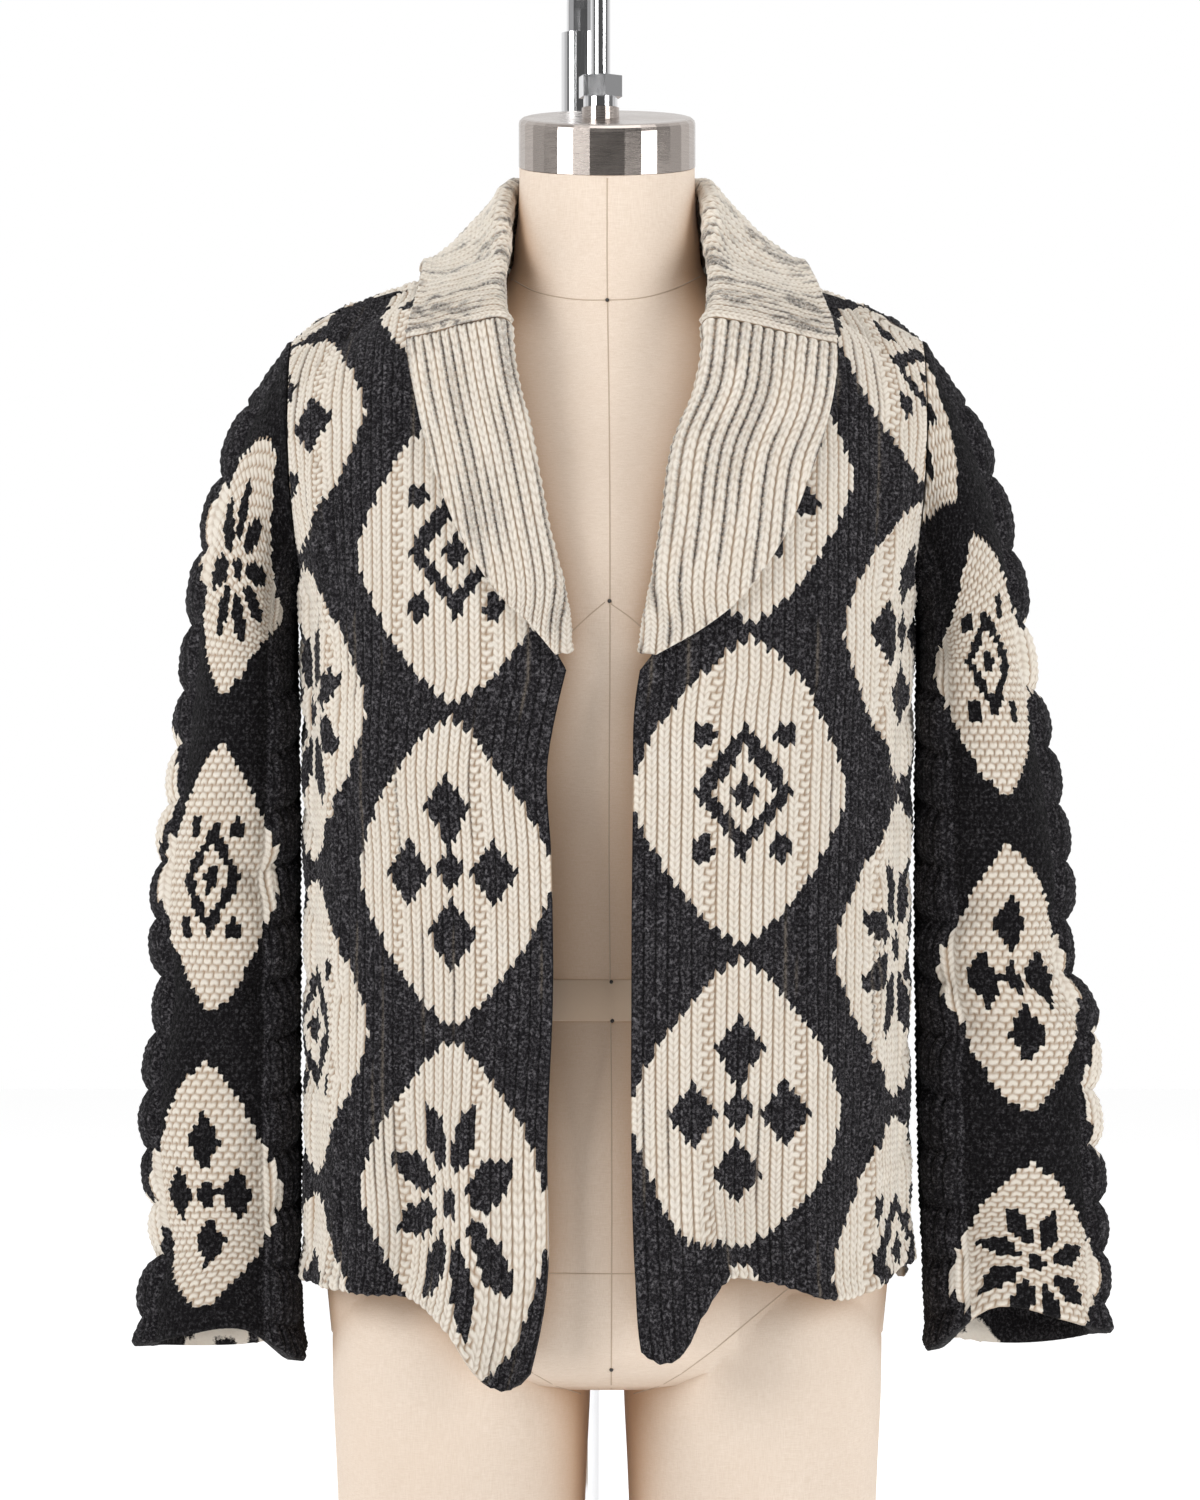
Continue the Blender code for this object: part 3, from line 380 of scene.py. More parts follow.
def roll_radius(z):
    return TIP_RADIUS + (ROLL_RADIUS - TIP_RADIUS) * ease((z - LAPEL_Z["z"][0]) / 0.06)


def front_edge(z, name):
    """Distance from the centre to the front's inner edge: the free edge, the lapel's seam, the neckline."""
    edge = LEFT_EDGE if name == "left" else RIGHT_EDGE
    low = read(edge, z, "x")[0]
    start = LAPEL_Z["z"][0] - SEAM_SHIFT
    seam = lapel(name + "_roll", z) + seam_width(z) + LAPEL_JOIN
    x = low + (seam - low) * ease((z - start) / 0.006)
    neck = ease((z - 0.845) / 0.015)
    return x + (NECK_HALF + 0.0015 - x) * neck


# The sleeves


def armhole_point(angle, mirror):
    """A point on the armhole: 180 degrees is the armpit, 0 the shoulder, 90 the front."""
    z = (ARMPIT_Z + TIP_Z) / 2 + (TIP_Z - ARMPIT_Z) / 2 * np.cos(np.radians(angle))
    a = np.radians(angle)
    reach = np.where(np.sin(a) > 0, ARMHOLE_FRONT, ARMHOLE_BACK)
    y = SIDE_Y - reach * np.sin(a)
    return np.stack([mirror * (body("half_width", z) + ARMHOLE_SEAM), y, z], axis=-1)


def hanging_ring(angle, z, sizes, mirror):
    """A ring of the hanging sleeve: 0 degrees is its outer side, 90 the front, 180 the body side."""
    inner, outer, depth, middle_y = read(sizes, z, "inner outer half_depth y")
    wide, deep = squared(np.radians(angle), SLEEVE_POWER)
    x = (inner + outer) / 2 + (outer - inner) / 2 * wide
    return np.stack([mirror * x, middle_y - depth * deep, z + 0 * x], axis=-1)


# The lapels and the collar


def front_surface(x, z, mirror):
    """The front's outer surface at x and z, and its normal, for what lies on it."""
    z_side = z
    for _ in range(12):
        z_side = z_side + (z - body_point(np.array([x]), z_side, -1, mirror)[0, 2])
    step = 0.002
    here = body_point(np.array([x]), z_side, -1, mirror)[0]
    across = body_point(np.array([x + step]), z_side, -1, mirror)[0] - here
    up = body_point(np.array([x]), z_side + step, -1, mirror)[0] - here
    normal = unit(np.cross(across, up))
    if normal[1] > 0:
        normal = -normal
    return here, normal


def outward(points, normal, lie):
    """Normals of a section's points, square to its run, on its convex side."""
    along = np.gradient(points, axis=0)
    out = unit(np.cross(along, np.cross(normal, lie)))
    turned = out[SECTION[0] + SECTION[1] // 2] @ lie
    return -out if turned > 0 else out


def rolled(seam, centre, normal, lie, radius):
    """The section's points from the seam to the top of the roll."""
    under, turn = SECTION[:2]
    start = centre - normal * radius
    points = [seam + (start - seam) * k / under for k in range(under)]
    for k in range(turn):
        a = pi * k / turn
        points.append(centre - normal * radius * cos(a) - lie * radius * sin(a))
    return points


def lapel_section(z, name, mirror):
    """A section of the lapel's middle surface: it follows the front, moved out."""
    radius = float(roll_radius(z))
    roll_x = float(lapel(name + "_roll", z)) + WALL / 2
    seam_x = roll_x + float(seam_width(z)) - WALL / 2
    outer_x = max(float(lapel(name + "_outer", z)), roll_x + radius + 0.003)
    seam, normal = front_surface(seam_x, z, mirror)
    roll, _ = front_surface(roll_x, z, mirror)
    lie = unit(seam - roll)
    normal = unit(normal - lie * (normal @ lie))
    centre = roll + lie * radius + normal * (radius - WALL / 2)
    points = rolled(seam - normal * WALL / 2, centre, normal, lie, radius)
    top = SECTION[2]
    for k in range(top + 1):
        t = k / top
        x = roll_x + radius + (outer_x - roll_x - radius) * t
        here, up = front_surface(x, z - LAPEL_SLANT * (outer_x - roll_x) * t, mirror)
        lift = (2 * radius - WALL / 2) * (1 - ease(t)) + (WALL / 2 + LAPEL_LIE) * ease(t)
        points.append(here + up * lift)
    points = np.array(points)
    return points, outward(points, normal, lie)


def collar_section(row):
    """A section of the collar: it stands up from its seam, rolls over and falls on the shoulders."""
    roll, seam, outer = (
        np.array([COLLAR[f"{line}_{axis}"][row] for axis in "xyz"]) for line in ("roll", "seam", "outer")
    )
    lie = unit(seam - roll)
    away = np.array([seam[0], seam[1] + 0.006, 0.0])
    normal = unit(away - lie * (away @ lie))
    centre = roll + lie * ROLL_RADIUS
    points = rolled(seam, centre, normal, lie, ROLL_RADIUS)
    over = centre + normal * ROLL_RADIUS
    reach = np.linalg.norm(outer - over)
    knee = over + lie * reach * 0.45 + normal * reach * COLLAR["belly"][row]
    top = SECTION[2]
    for k in range(top + 1):
        t = k / top
        points.append((1 - t) ** 2 * over + 2 * t * (1 - t) * knee + t * t * outer)
    points = np.array(points)
    return points, outward(points, normal, lie)


def ribbon_sections():
    """All sections from the left lapel's tip round the neck to the right one's."""
    left = [lapel_section(z, "left", -1) for z in LAPEL_Z["z"]]
    right = [lapel_section(z, "right", 1) for z in LAPEL_Z["z"][::-1]]
    middle = [collar_section(r) for r in range(len(COLLAR["roll_x"]))]
    return left + middle + right


def grid_tree(grids):
    """The outer surfaces of the body's panels, for what has to stay clear of them."""
    points = []
    faces = []
    for grid in grids:
        rows, cols = grid.shape[:2]
        base = len(points)
        points += [Vector(p) for p in grid.reshape(-1, 3)]
        for r in range(rows - 1):
            for c in range(cols - 1):
                a = base + r * cols + c
                faces.append((a, a + 1, a + cols + 1, a + cols))
    return BVHTree.FromPolygons(points, faces)


def clear_of_body(mids, tree):
    """Lifts the part of the ribbon that lies on the body until it is clear."""
    need = WALL / 2 + LAPEL_LIE
    for row in mids:
        for k in range(SECTION[0] + SECTION[1] + 1, len(row)):
            for _ in range(3):
                spot, normal, _, _ = tree.find_nearest(Vector(row[k]))
                away = Vector((spot.x, spot.y, 0.4 * max(0.0, spot.z - 0.7)))
                if normal @ away < 0:
                    normal = -normal
                short = need - (Vector(row[k]) - spot) @ normal
                if short > 0:
                    row[k] += np.array(normal) * short
    return mids


def ribbon_rows(first, last, count, trim, tree):
    """Rows of the ribbon between two sections; trim cuts both ends back by the seam's gap."""
    sections = ribbon_sections()
    keys = np.arange(len(sections), dtype=float)
    at = np.linspace(first, last, count + 1)
    lines = [np.array([section[k] for section in sections]).reshape(len(keys), -1) for k in (0, 1)]
    mids, outs = (smooth(at, keys, line) for line in lines)
    mids = clear_of_body(mids.reshape(count + 1, -1, 3), tree)
    outs = outs.reshape(count + 1, -1, 3)
    if trim:
        mids[0] += unit(mids[1] - mids[0]) * SEAM
        mids[-1] += unit(mids[-2] - mids[-1]) * SEAM
    return mids, unit(outs)


def ring(half_width, front, back, z, lean, centre_x, segments):
    """A level ring of the dress form, tilted by lean degrees."""
    wide, deep = squared(np.linspace(0, 2 * pi, segments, endpoint=False), FORM_POWER)
    y = np.where(deep < 0, front, back) * deep
    return np.stack([centre_x + half_width * wide, y, z + y * tan(radians(lean))], axis=-1)


# The stitches

WALE = 0.0065  # width of a stitch
COURSE = 0.0043  # height of a row
SLANT = 0.90  # rise of a stitch's legs, in rows
STITCH_DEEP = 0.0020  # from the top of a stitch to the valleys beside it
ROW_SHARE = 0.50  # share of the depth that parts the rows
# Height of the points across a stitch, for 4 and for 6 steps
LEGS = {4: (0.0, 1.0, 0.55, 1.0), 6: (0.0, 0.85, 1.0, 0.55, 1.0, 0.85)}
ROW_STEPS = 2  # points up a row of stitches
MARGIN = 0.0004  # how far the highest stitches stand out of the solid
UNEVEN = 0.0006  # how far the hand knitting wavers
CAST_OFF = 0.0014  # rise of the last rows at a hem or a cuff


def noise(rows, cols, cell_rows, cell_cols, seed):
    """Soft noise from -1 to 1 over a grid, from random values on a coarser one."""
    made = np.random.default_rng(seed)
    high = int(rows / cell_rows) + 3
    wide = int(cols / cell_cols) + 3
    coarse = made.uniform(-1, 1, (high, wide))
    r = np.arange(rows) / cell_rows
    c = np.arange(cols) / cell_cols
    ri = r.astype(int)
    ci = c.astype(int)
    rt = ease(r - ri)[:, None]
    ct = ease(c - ci)[None]
    top = coarse[ri][:, ci] * (1 - ct) + coarse[ri][:, ci + 1] * ct
    low = coarse[ri + 1][:, ci] * (1 - ct) + coarse[ri + 1][:, ci + 1] * ct
    return top * (1 - rt) + low * rt


def stitches(rows, cols, steps, purl, seed):
    """Height of the stitches from 0 to 1, and each point's shift along its column in rows."""
    legs = np.array(LEGS[steps])
    r = np.arange(rows)[:, None]
    c = np.arange(cols)[None]
    row_top = (r % ROW_STEPS > 0) * 1.0
    plain = legs[c % steps] * (1 - ROW_SHARE + ROW_SHARE * row_top)
    brick = (c / steps + 0.5 * (r // ROW_STEPS % 2)) % 1
    bump = (1 - np.abs(2 * brick - 1) ** 3) * (0.25 + 0.75 * row_top)
    height = plain * (1 - purl) + bump * purl
    loose = np.random.default_rng(seed).uniform(0.86, 1.08, (rows // ROW_STEPS + 1, cols // steps + 1))
    height = height * loose[r // ROW_STEPS, c // steps]
    valley = np.abs((c / steps) % 1 - 0.5) * 2
    shift = SLANT * (valley - 0.5) * (1 - 0.75 * purl)
    return height, shift


def knit(base, normals, steps, purl, cable, cream, inside, seed):
    """Outer points of a knitted wall: stitches cut into its surface, cables raised on it."""
    rows, cols = base.shape[:2]
    height, shift = stitches(rows, cols, steps, purl, seed)
    rim = np.minimum(np.arange(rows), np.arange(rows)[::-1]) / ROW_STEPS
    shift = shift * ease(0.4 + rim)[:, None] * inside
    along = unit(np.gradient(base, axis=0)) * COURSE
    felted = 0.66 + 0.34 * cream
    uneven = noise(rows, cols, 2 * ROW_STEPS, 2 * steps, seed + 1) * UNEVEN
    edge = CAST_OFF * np.exp(-(((rim - 0.8) / 0.7) ** 2))[:, None]
    out = (MARGIN - STITCH_DEEP * felted * (1 - height) + uneven + cable + edge) * inside
    return base + along * shift[..., None] + normals * out[..., None], height


def grid_faces(rows, cols, row_step, col_step, tube, flip):
    """Faces of a wall between a fine outer grid and an inner one with every row_step-th row."""
    across = np.arange(cols if tube else cols - 1)
    r, c = np.meshgrid(np.arange(rows - 1), across, indexing="ij")
    d = (c + 1) % cols
    outer = np.stack([r * cols + c, r * cols + d, (r + 1) * cols + d, (r + 1) * cols + c], axis=-1)
    blocks = cols // col_step if tube else (cols - 1) // col_step
    inner_cols = blocks if tube else blocks + 1
    inner_rows = (rows - 1) // row_step + 1
    base = rows * cols
    i, j = np.meshgrid(np.arange(inner_rows - 1), np.arange(blocks), indexing="ij")
    k = (j + 1) % inner_cols
    a = base + i * inner_cols
    inner = np.stack([a + j, a + inner_cols + j, a + inner_cols + k, a + k], axis=-1)
    faces = outer.reshape(-1, 4).tolist() + inner.reshape(-1, 4).tolist()
    for r, inner_r in ((0, 0), (rows - 1, inner_rows - 1)):
        for j in range(blocks):
            fine = [r * cols + (j * col_step + n) % cols for n in range(col_step, -1, -1)]
            near = [base + inner_r * inner_cols + (j + n) % inner_cols for n in (0, 1)]
            faces.append(fine + near if r == 0 else (fine + near)[::-1])
    if not tube:
        for c, inner_c in ((0, 0), (cols - 1, blocks)):
            for i in range(inner_rows - 1):
                fine = [(i * row_step + n) * cols + c for n in range(row_step + 1)]
                near = [base + (i + n) * inner_cols + inner_c for n in (1, 0)]
                faces.append(fine + near if c == 0 else (fine + near)[::-1])
    return [f[::-1] for f in faces] if flip else faces


def put(name, data):
    """A new object in the scene."""
    made = bpy.data.objects.new(name, data)
    bpy.context.scene.collection.objects.link(made)
    return made


def add_piece(name, points, faces, finish, layers=None, merge=False):
    """An object of the scene that rides on the part, with named values at its points."""
    mesh = bpy.data.meshes.new(name)
    mesh.from_pydata((np.asarray(points) - [MIDDLE_X, 0, 0]).tolist(), [], faces)
    for key, values in (layers or {}).items():
        layer = mesh.attributes.new(key, "FLOAT", "POINT")
        layer.data.foreach_set("value", np.asarray(values, np.float32).ravel())
    if merge:
        bm = bmesh.new()
        bm.from_mesh(mesh)
        bmesh.ops.remove_doubles(bm, verts=bm.verts, dist=2e-6)
        bm.to_mesh(mesh)
        bm.free()
    mesh.shade_smooth()
    mesh.materials.append(finish)
    made = put(name, mesh)
    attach(made, "root")
    return made


def add_wall(
    name, base, normals, flip, finish, look, steps, inside, tube=False, purl=0.0, cable=0.0, seed=1
):
    """A knitted wall; look gives the wool's layers at the grid's points."""
    outer, height = knit(base, normals, steps, purl, cable, look["cream"], inside, seed)
    row_step = 2 * ROW_STEPS
    inner = (base - normals * WALL)[::row_step, ::steps]
    faces = grid_faces(*base.shape[:2], row_step, steps, tube, flip)
    points = np.concatenate([outer.reshape(-1, 3), inner.reshape(-1, 3)])
    layers = {}
    # groove_shade is painted shade in the valleys between the stitches, weaker on the wall's inner points;
    # shade is painted shade over a whole piece, none unless given.
    for key, values in {"shade": 0.0, **look, "groove_shade": 1 - height}.items():
        values = np.broadcast_to(values, base.shape[:2])
        within = values[::row_step, ::steps] * (0.4 if key == "groove_shade" else 1)
        layers[key] = np.concatenate([values.ravel(), within.ravel()])
    return add_piece(name, points, faces, finish, layers, merge=not tube)


# The body's panels

FRONT_WALES = 35  # columns of stitches
BACK_WALES = 36  # of each half
PANEL_ROWS_X = (0.09, 0.14)  # the rows are spaced evenly along these distances from the centre
LINE_X = 0.08  # the stitches' columns are measured from here on each row
EDGE_TURN = 0.650  # above this the lapel's seam cuts the columns off
SIDE_TURN = 0.698  # above this the armhole does


def even_levels(side, step):
    """Side-seam heights of rows that are evenly spaced, hem to shoulder."""
    turn = np.linspace(0, pi, 300)[1:]
    high = (ARMPIT_Z + TIP_Z) / 2 - (TIP_Z - ARMPIT_Z) / 2 * np.cos(turn)
    z = np.concatenate([np.linspace(HEM_Z, ARMPIT_Z, 200), high])
    runs = [run_along(body_point(np.full(len(z), x), z, side, 1)) for x in PANEL_ROWS_X]
    run = sum(runs) / len(runs)
    count = int(round(run[-1] / COURSE / 4)) * 4
    return np.interp(np.linspace(0, run[-1], count * step + 1), run, z)


def columns_of(z_side, side, mirror, edge_x):
    """A row's closely spaced x, each one's distance from LINE_X, and those of its edge and its side."""
    half = float(body("half_width", z_side))
    x = half * np.sin(np.linspace(0, pi / 2, 500))
    run = run_along(body_point(x, z_side, side, mirror))
    run -= np.interp(LINE_X, x, run)
    return x, run, float(np.interp(edge_x, x, run)), run[-1]


def edge_start(z_side, side, mirror, edge_of):
    """The x where a row meets the panel's inner edge."""
    start = 0.03
    for _ in range(6):
        start = float(edge_of(body_point(np.array([start]), z_side, side, mirror)[0, 2]))
    return start


def fine_half(side, mirror, steps, wales, edge_of, hem_of):
    """A panel's base points from the side to the inner edge.

    Its columns run straight up, so the armhole and the neckline cut them off. With the points come their
    distances from the side seam as knitted, from the side, and from the inner edge.
    """
    grid = []
    measures = []
    share = np.linspace(0, 1, wales * steps + 1)
    for z_side in even_levels(side, ROW_STEPS):
        start = edge_start(z_side, side, mirror, edge_of) if edge_of else 0.0
        x_line, run, edge, outer = columns_of(z_side, side, mirror, start)
        low = min(z_side, EDGE_TURN)
        low_start = edge_start(low, side, mirror, edge_of) if edge_of else 0.0
        edge_knit = columns_of(low, side, mirror, low_start)[2]
        side_knit = columns_of(min(z_side, SIDE_TURN), side, mirror, start)[3]
        across = np.clip(side_knit + (edge_knit - side_knit) * share, edge, outer)
        across[[0, -1]] = outer, edge
        x = np.interp(across, run, x_line)
        points = body_point(x, z_side, side, mirror)
        if hem_of:
            drop = (hem_of(np.abs(points[:, 0])) - HEM_Z) * (1 - ease((z_side - HEM_Z) / HEM_SETTLE))
            points[:, 2] += drop
            slide = (x - x[0]) / (x[-1] - x[0])
            points[:, 0] += mirror * (edge_of(points[-1, 2]) - x[-1]) * slide
        grid.append(points)
        measures.append((side_knit - across, outer - across, across - edge))
    return np.array(grid), *np.array(measures).transpose(1, 0, 2)


MET = 1e-7  # points nearer than this to a panel's side lie on it


def rope(across, along, pitch, lean):
    """Relief of a rope cable from 0 to 1: overlapping lobes that lean across it."""
    inside = np.clip(1 - np.abs(across) ** 2.6, 0, 1) ** 0.6
    turn = (along / pitch + lean * across) % 1
    lobe = np.clip(1 - np.abs(2 * turn - 1) ** 2.6, 0, 1) ** 0.7
    return inside * (0.10 + 0.90 * lobe)


def panel_cables(from_seam, from_side, grid, phase):
    """Relief of a panel's cables, fading out where they meet its side."""
    along = (grid[:, 0, 2] - grid[0, 0, 2])[:, None] + phase
    total = np.zeros(from_seam.shape)
    for at, half, height, pitch in zip(*CABLES.values()):
        total += (height - 0.0008) * rope((from_seam - at) / half, along + pitch / 2, pitch, 0.3)
    fade = np.where(grid[..., 2] > ARMPIT_Z, CABLE_FADE, CABLE_EDGE)
    return total * ease(from_side / fade)


def meeting_normals(normals, from_side, high, both):
    """Gives points that meet at the side one normal, kept square to the seam there."""
    for r in range(len(normals)):
        for step in (1, -1)[: 1 + both]:
            row = normals[r, ::step]
            past = int(np.argmax(from_side[r, ::step] >= MET))
            normal = row[past - 1].copy()
            normal[0 if high[r] else 1] = 0
            row[:past] = normal
    return unit(normals)


def panel_normals(grid, side, from_side, to_edge):
    """Normals of a panel; to_edge is None on the back, which has two sides."""
    normals = grid_normals(grid)
    flip = normals[20, grid.shape[1] // 3, 1] * side < 0
    if flip:
        normals = -normals
    high = even_levels(side, ROW_STEPS) > ARMPIT_Z + 0.001
    normals = meeting_normals(normals, from_side, high, to_edge is None)
    if to_edge is not None:
        for r in range(len(normals)):
            first = np.nonzero(to_edge[r] < MET)[0][0]
            normals[r, first:] = normals[r, first]
    return normals, flip


EDGE_CHAIN = 0.0012  # rise of the chain of stitches along a front's edge
LAPEL_FOOT_Z = 0.66
COLLAR_FOOT_Z = 0.84


def half_stitches(cols, steps):
    """Where each column's half stitch is, in metres from the first."""
    return (np.arange(cols) * 2 // steps + 0.5) * WALE / 2


PURL_EVERY = 8  # one column of stitches in this many is purled


def ladders(rows, cols, steps, seed):
    """Light strands that show between some columns of stitches, from 0 to 1."""
    valley = np.abs((np.arange(cols) / steps) % 1 - 0.5) * 2
    some = noise(rows, cols, 22 * ROW_STEPS, steps, seed + 7)
    return np.clip(valley - 0.6, 0, 1)[None] / 0.4 * 0.8 * ease((some - 0.62) * 5)


def under_collar(grid, above):
    """1 where a panel lies under the lapel or the collar, above a height; its cables stop there."""
    return ease((grid[..., 2] - above) / 0.02) * ease((0.14 - np.abs(grid[..., 0])) / 0.02)


def fine_front(name, mirror, finish):
    side_name = "left" if mirror < 0 else "right"
    hem = LEFT_HEM if mirror < 0 else RIGHT_HEM
    steps = 6
    grid, from_seam, from_side, to_edge = fine_half(
        -1,
        mirror,
        steps,
        FRONT_WALES,
        lambda z: front_edge(z, side_name),
        lambda x: smooth(x, hem["x"], hem["z"]),
    )
    normals, flip = panel_normals(grid, -1, from_side, to_edge)
    cable = panel_cables(from_seam, from_side, grid, 0.0) * (1 - under_collar(grid, LAPEL_FOOT_Z))
    u = half_stitches(grid.shape[1], steps)[::-1]
    v = (np.arange(grid.shape[0]) // ROW_STEPS + 0.5) * COURSE
    cream = front_design(*np.meshgrid(u, v), side_name)
    chain = EDGE_CHAIN * np.exp(-(((to_edge / WALE - 1.0) / 0.7) ** 2))
    chain = chain * (0.55 + 0.45 * np.cos(pi * np.arange(grid.shape[0]) / ROW_STEPS))[:, None]
    inside = ease(np.minimum(from_side, to_edge) / (WALE / 2))
    seed = 11 if mirror < 0 else 12
    look = {"cream": cream, "marl": ladders(*grid.shape[:2], steps, seed)}
    wale = (np.arange(grid.shape[1])[::-1] // steps) % PURL_EVERY
    purl = np.broadcast_to((wale == PURL_EVERY - 2) * 1.0, grid.shape[:2])
    return add_wall(
        name, grid, normals, flip, finish, look, steps, inside, purl=purl, cable=cable + chain, seed=seed
    )


def fine_back(name, finish):
    steps = 4
    left = fine_half(1, -1, steps, BACK_WALES, None, None)
    right = fine_half(1, 1, steps, BACK_WALES, None, None)
    grid, from_seam, from_side, _ = (np.concatenate([a, b[:, -2::-1]], axis=1) for a, b in zip(left, right))
    normals, flip = panel_normals(grid, 1, from_side, None)
    cable = panel_cables(from_seam, from_side, grid, BACK_PHASE) * (1 - under_collar(grid, COLLAR_FOOT_Z))
    u = half_stitches(grid.shape[1], steps)
    v = (np.arange(grid.shape[0]) // ROW_STEPS + 0.5) * COURSE
    cream = back_design(*np.meshgrid(u - u[-1] / 2, v))
    inside = ease(from_side / (WALE / 2))
    look = {"cream": cream, "marl": 0.0}
    return add_wall(name, grid, normals, flip, finish, look, steps, inside, cable=cable, seed=13)


# The sleeves

SLEEVE_STEPS = 6
SLEEVE_WALES = 46
TOP_COURSES = 36
WAVES_Z = 0.360  # the cuff's waves die out up to here
LOBE_PITCH = 0.03467  # of the sleeves' rope cables
LOBE_RISE = (0.0020, 0.0035, 0.0035)  # how far each cable's lumps rise past the solid's


def sleeve_angles(sizes):
    """Angles of the stitches round the sleeve, evenly spaced round its middle."""
    a = np.linspace(-9, 351, 1441)
    ring = hanging_ring(a, 0.5, sizes, 1)
    run = run_along(ring)
    return np.interp(np.linspace(0, run[-1], SLEEVE_WALES * SLEEVE_STEPS + 1)[:-1], run, a)


def sleeve_rows(angle, sizes, side_name, mirror, courses):
    """Rings of the sleeve, from the armhole over its curved top to the wavy cuff."""
    start = armhole_point(angle, mirror)
    end = hanging_ring(angle, HANG_Z, sizes, mirror)
    gap = np.linalg.norm(end - start, axis=-1, keepdims=True)
    leave = np.array([mirror * 0.55, 0, -0.84]) * gap
    arrive = np.array([mirror * 0.08, 0, -1.0]) * gap
    rows = []
    for t in np.linspace(0, 1, TOP_COURSES * ROW_STEPS + 1)[:-1]:
        there = (1 + 2 * t) * (1 - t) ** 2 * start + t * t * (3 - 2 * t) * end
        rows.append(there + t * (1 - t) ** 2 * leave + t * t * (t - 1) * arrive)
    cuff = smooth(angle % 360, CUFF_WAVES["around"], CUFF_WAVES[side_name])
    for z in np.linspace(HANG_Z, CUFF_Z, courses * ROW_STEPS + 1):
        row = hanging_ring(angle, z, sizes, mirror)
        row[:, 2] += cuff * ease((WAVES_Z - z) / (WAVES_Z - CUFF_Z))
        rows.append(row)
    return np.array(rows)


def sleeve_cables(angle, grid, fall):
    """Relief of a sleeve's rope cables, and the columns that they take up."""
    cable = np.zeros(grid.shape[:2])
    roped = np.zeros(len(angle))
    for at, half, height, rise in zip(*SLEEVE_CABLES.values(), LOBE_RISE):
        away = (angle - at) / half
        cable += (height + rise) * rope(away[None], fall[:, None] + LOBE_PITCH / 2, LOBE_PITCH, 0.12)
        roped = np.maximum(roped, np.abs(away) < 1.15)
    top = ease(np.arange(len(fall)) / ROW_STEPS / 6)[:, None]
    near_body = ease((BY_THE_BODY - np.abs(grid[..., 0])) / 0.006) * ease((0.02 - fall[:, None]) / 0.02)
    return cable * top * (1 - 0.65 * near_body), roped


def fine_sleeve(name, mirror, finish):
    side_name = "left" if mirror < 0 else "right"
    sizes = LEFT_SLEEVE if mirror < 0 else RIGHT_SLEEVE
    angle = sleeve_angles(sizes)
    courses = int(round((HANG_Z - CUFF_Z) / COURSE / 4)) * 4
    grid = sleeve_rows(angle, sizes, side_name, mirror, courses)
    count = len(grid)
    normals = grid_normals(grid, tube=True)
    out = grid - grid.mean(axis=1, keepdims=True)
    flip = (normals * out).sum(axis=-1).mean() < 0
    if flip:
        normals = -normals
    normals[0, :, 0] = 0
    normals = unit(normals)
    grid = crease_sleeve(grid, normals, angle, mirror)
    fall = (np.arange(count) - TOP_COURSES * ROW_STEPS) / ROW_STEPS * (HANG_Z - CUFF_Z) / courses
    cable, roped = sleeve_cables(angle, grid, fall)
    purl = (1 - roped)[None] * np.ones((count, 1))
    u = half_stitches(len(angle), SLEEVE_STEPS)
    v = (np.arange(count)[::-1] // ROW_STEPS + 0.5) * COURSE
    cream = sleeve_design(*np.meshgrid(u, v), side_name)
    # Painted shade over the whole sleeve, strongest on its purled stitches.
    look = {"cream": cream, "marl": 0.0, "shade": 0.35 + 0.65 * purl}
    seed = 21 if mirror < 0 else 22
    return add_wall(name, grid, normals, flip, finish, look, SLEEVE_STEPS, 1.0, True, purl, cable, seed)


CREASES = table(
    "around z length width depth slant",
    (80, 0.560, 34, 0.011, 0.0050, 0.25),
    (110, 0.520, 40, 0.012, 0.0060, -0.20),
    (64, 0.478, 30, 0.010, 0.0040, 0.30),
    (118, 0.450, 36, 0.012, 0.0055, 0.15),
    (95, 0.395, 30, 0.010, 0.0035, -0.25),
    (250, 0.540, 38, 0.012, 0.0050, 0.20),
    (290, 0.470, 34, 0.011, 0.0045, -0.22),
    (262, 0.415, 30, 0.010, 0.0035, 0.18),
)


def crease_sleeve(grid, normals, angle, mirror):
    """Soft troughs across the sleeve where the arm would bend, uneven in length, depth and place."""
    total = np.zeros(grid.shape[:2])
    shift = 0.012 if mirror < 0 else -0.008
    for around, z, length, width, depth, slant in zip(*CREASES.values()):
        away = (angle[None] - around) / length
        height = grid[..., 2] - z - shift - slant * 0.05 * away
        total += depth * np.exp(-(away**2) * 1.6) * np.exp(-((height / width) ** 2))
    return grid - normals * total[..., None]


# The collar and the lapels

LAPEL_WALES = 14
LAPEL_COURSES = 40
LAPEL_STEPS = 6
LAPEL_RIDGE = 0.0008  # rise of the stitches along a lapel's edge
COLLAR_RIDGE = 0.0018
COLLAR_WALES = 72
COLLAR_COURSES = 28


def even_columns(mids, outs, count, parallel):
    """Each section sampled at equal distances, with those distances and each section's length.

    Parallel columns keep their width, so that they end early where a section is short.
    """
    runs = np.array([run_along(row) for row in mids])
    reach = runs[:, -1].max()
    at = np.array([np.minimum(np.linspace(0, reach if parallel else r[-1], count + 1), r[-1]) for r in runs])
    sampled = [
        np.array([[np.interp(a, r, row[:, k]) for k in range(3)] for a, r, row in zip(at, runs, grid)])
        for grid in (mids, outs)
    ]
    return *(grid.transpose(0, 2, 1) for grid in sampled), at, runs[:, -1:]


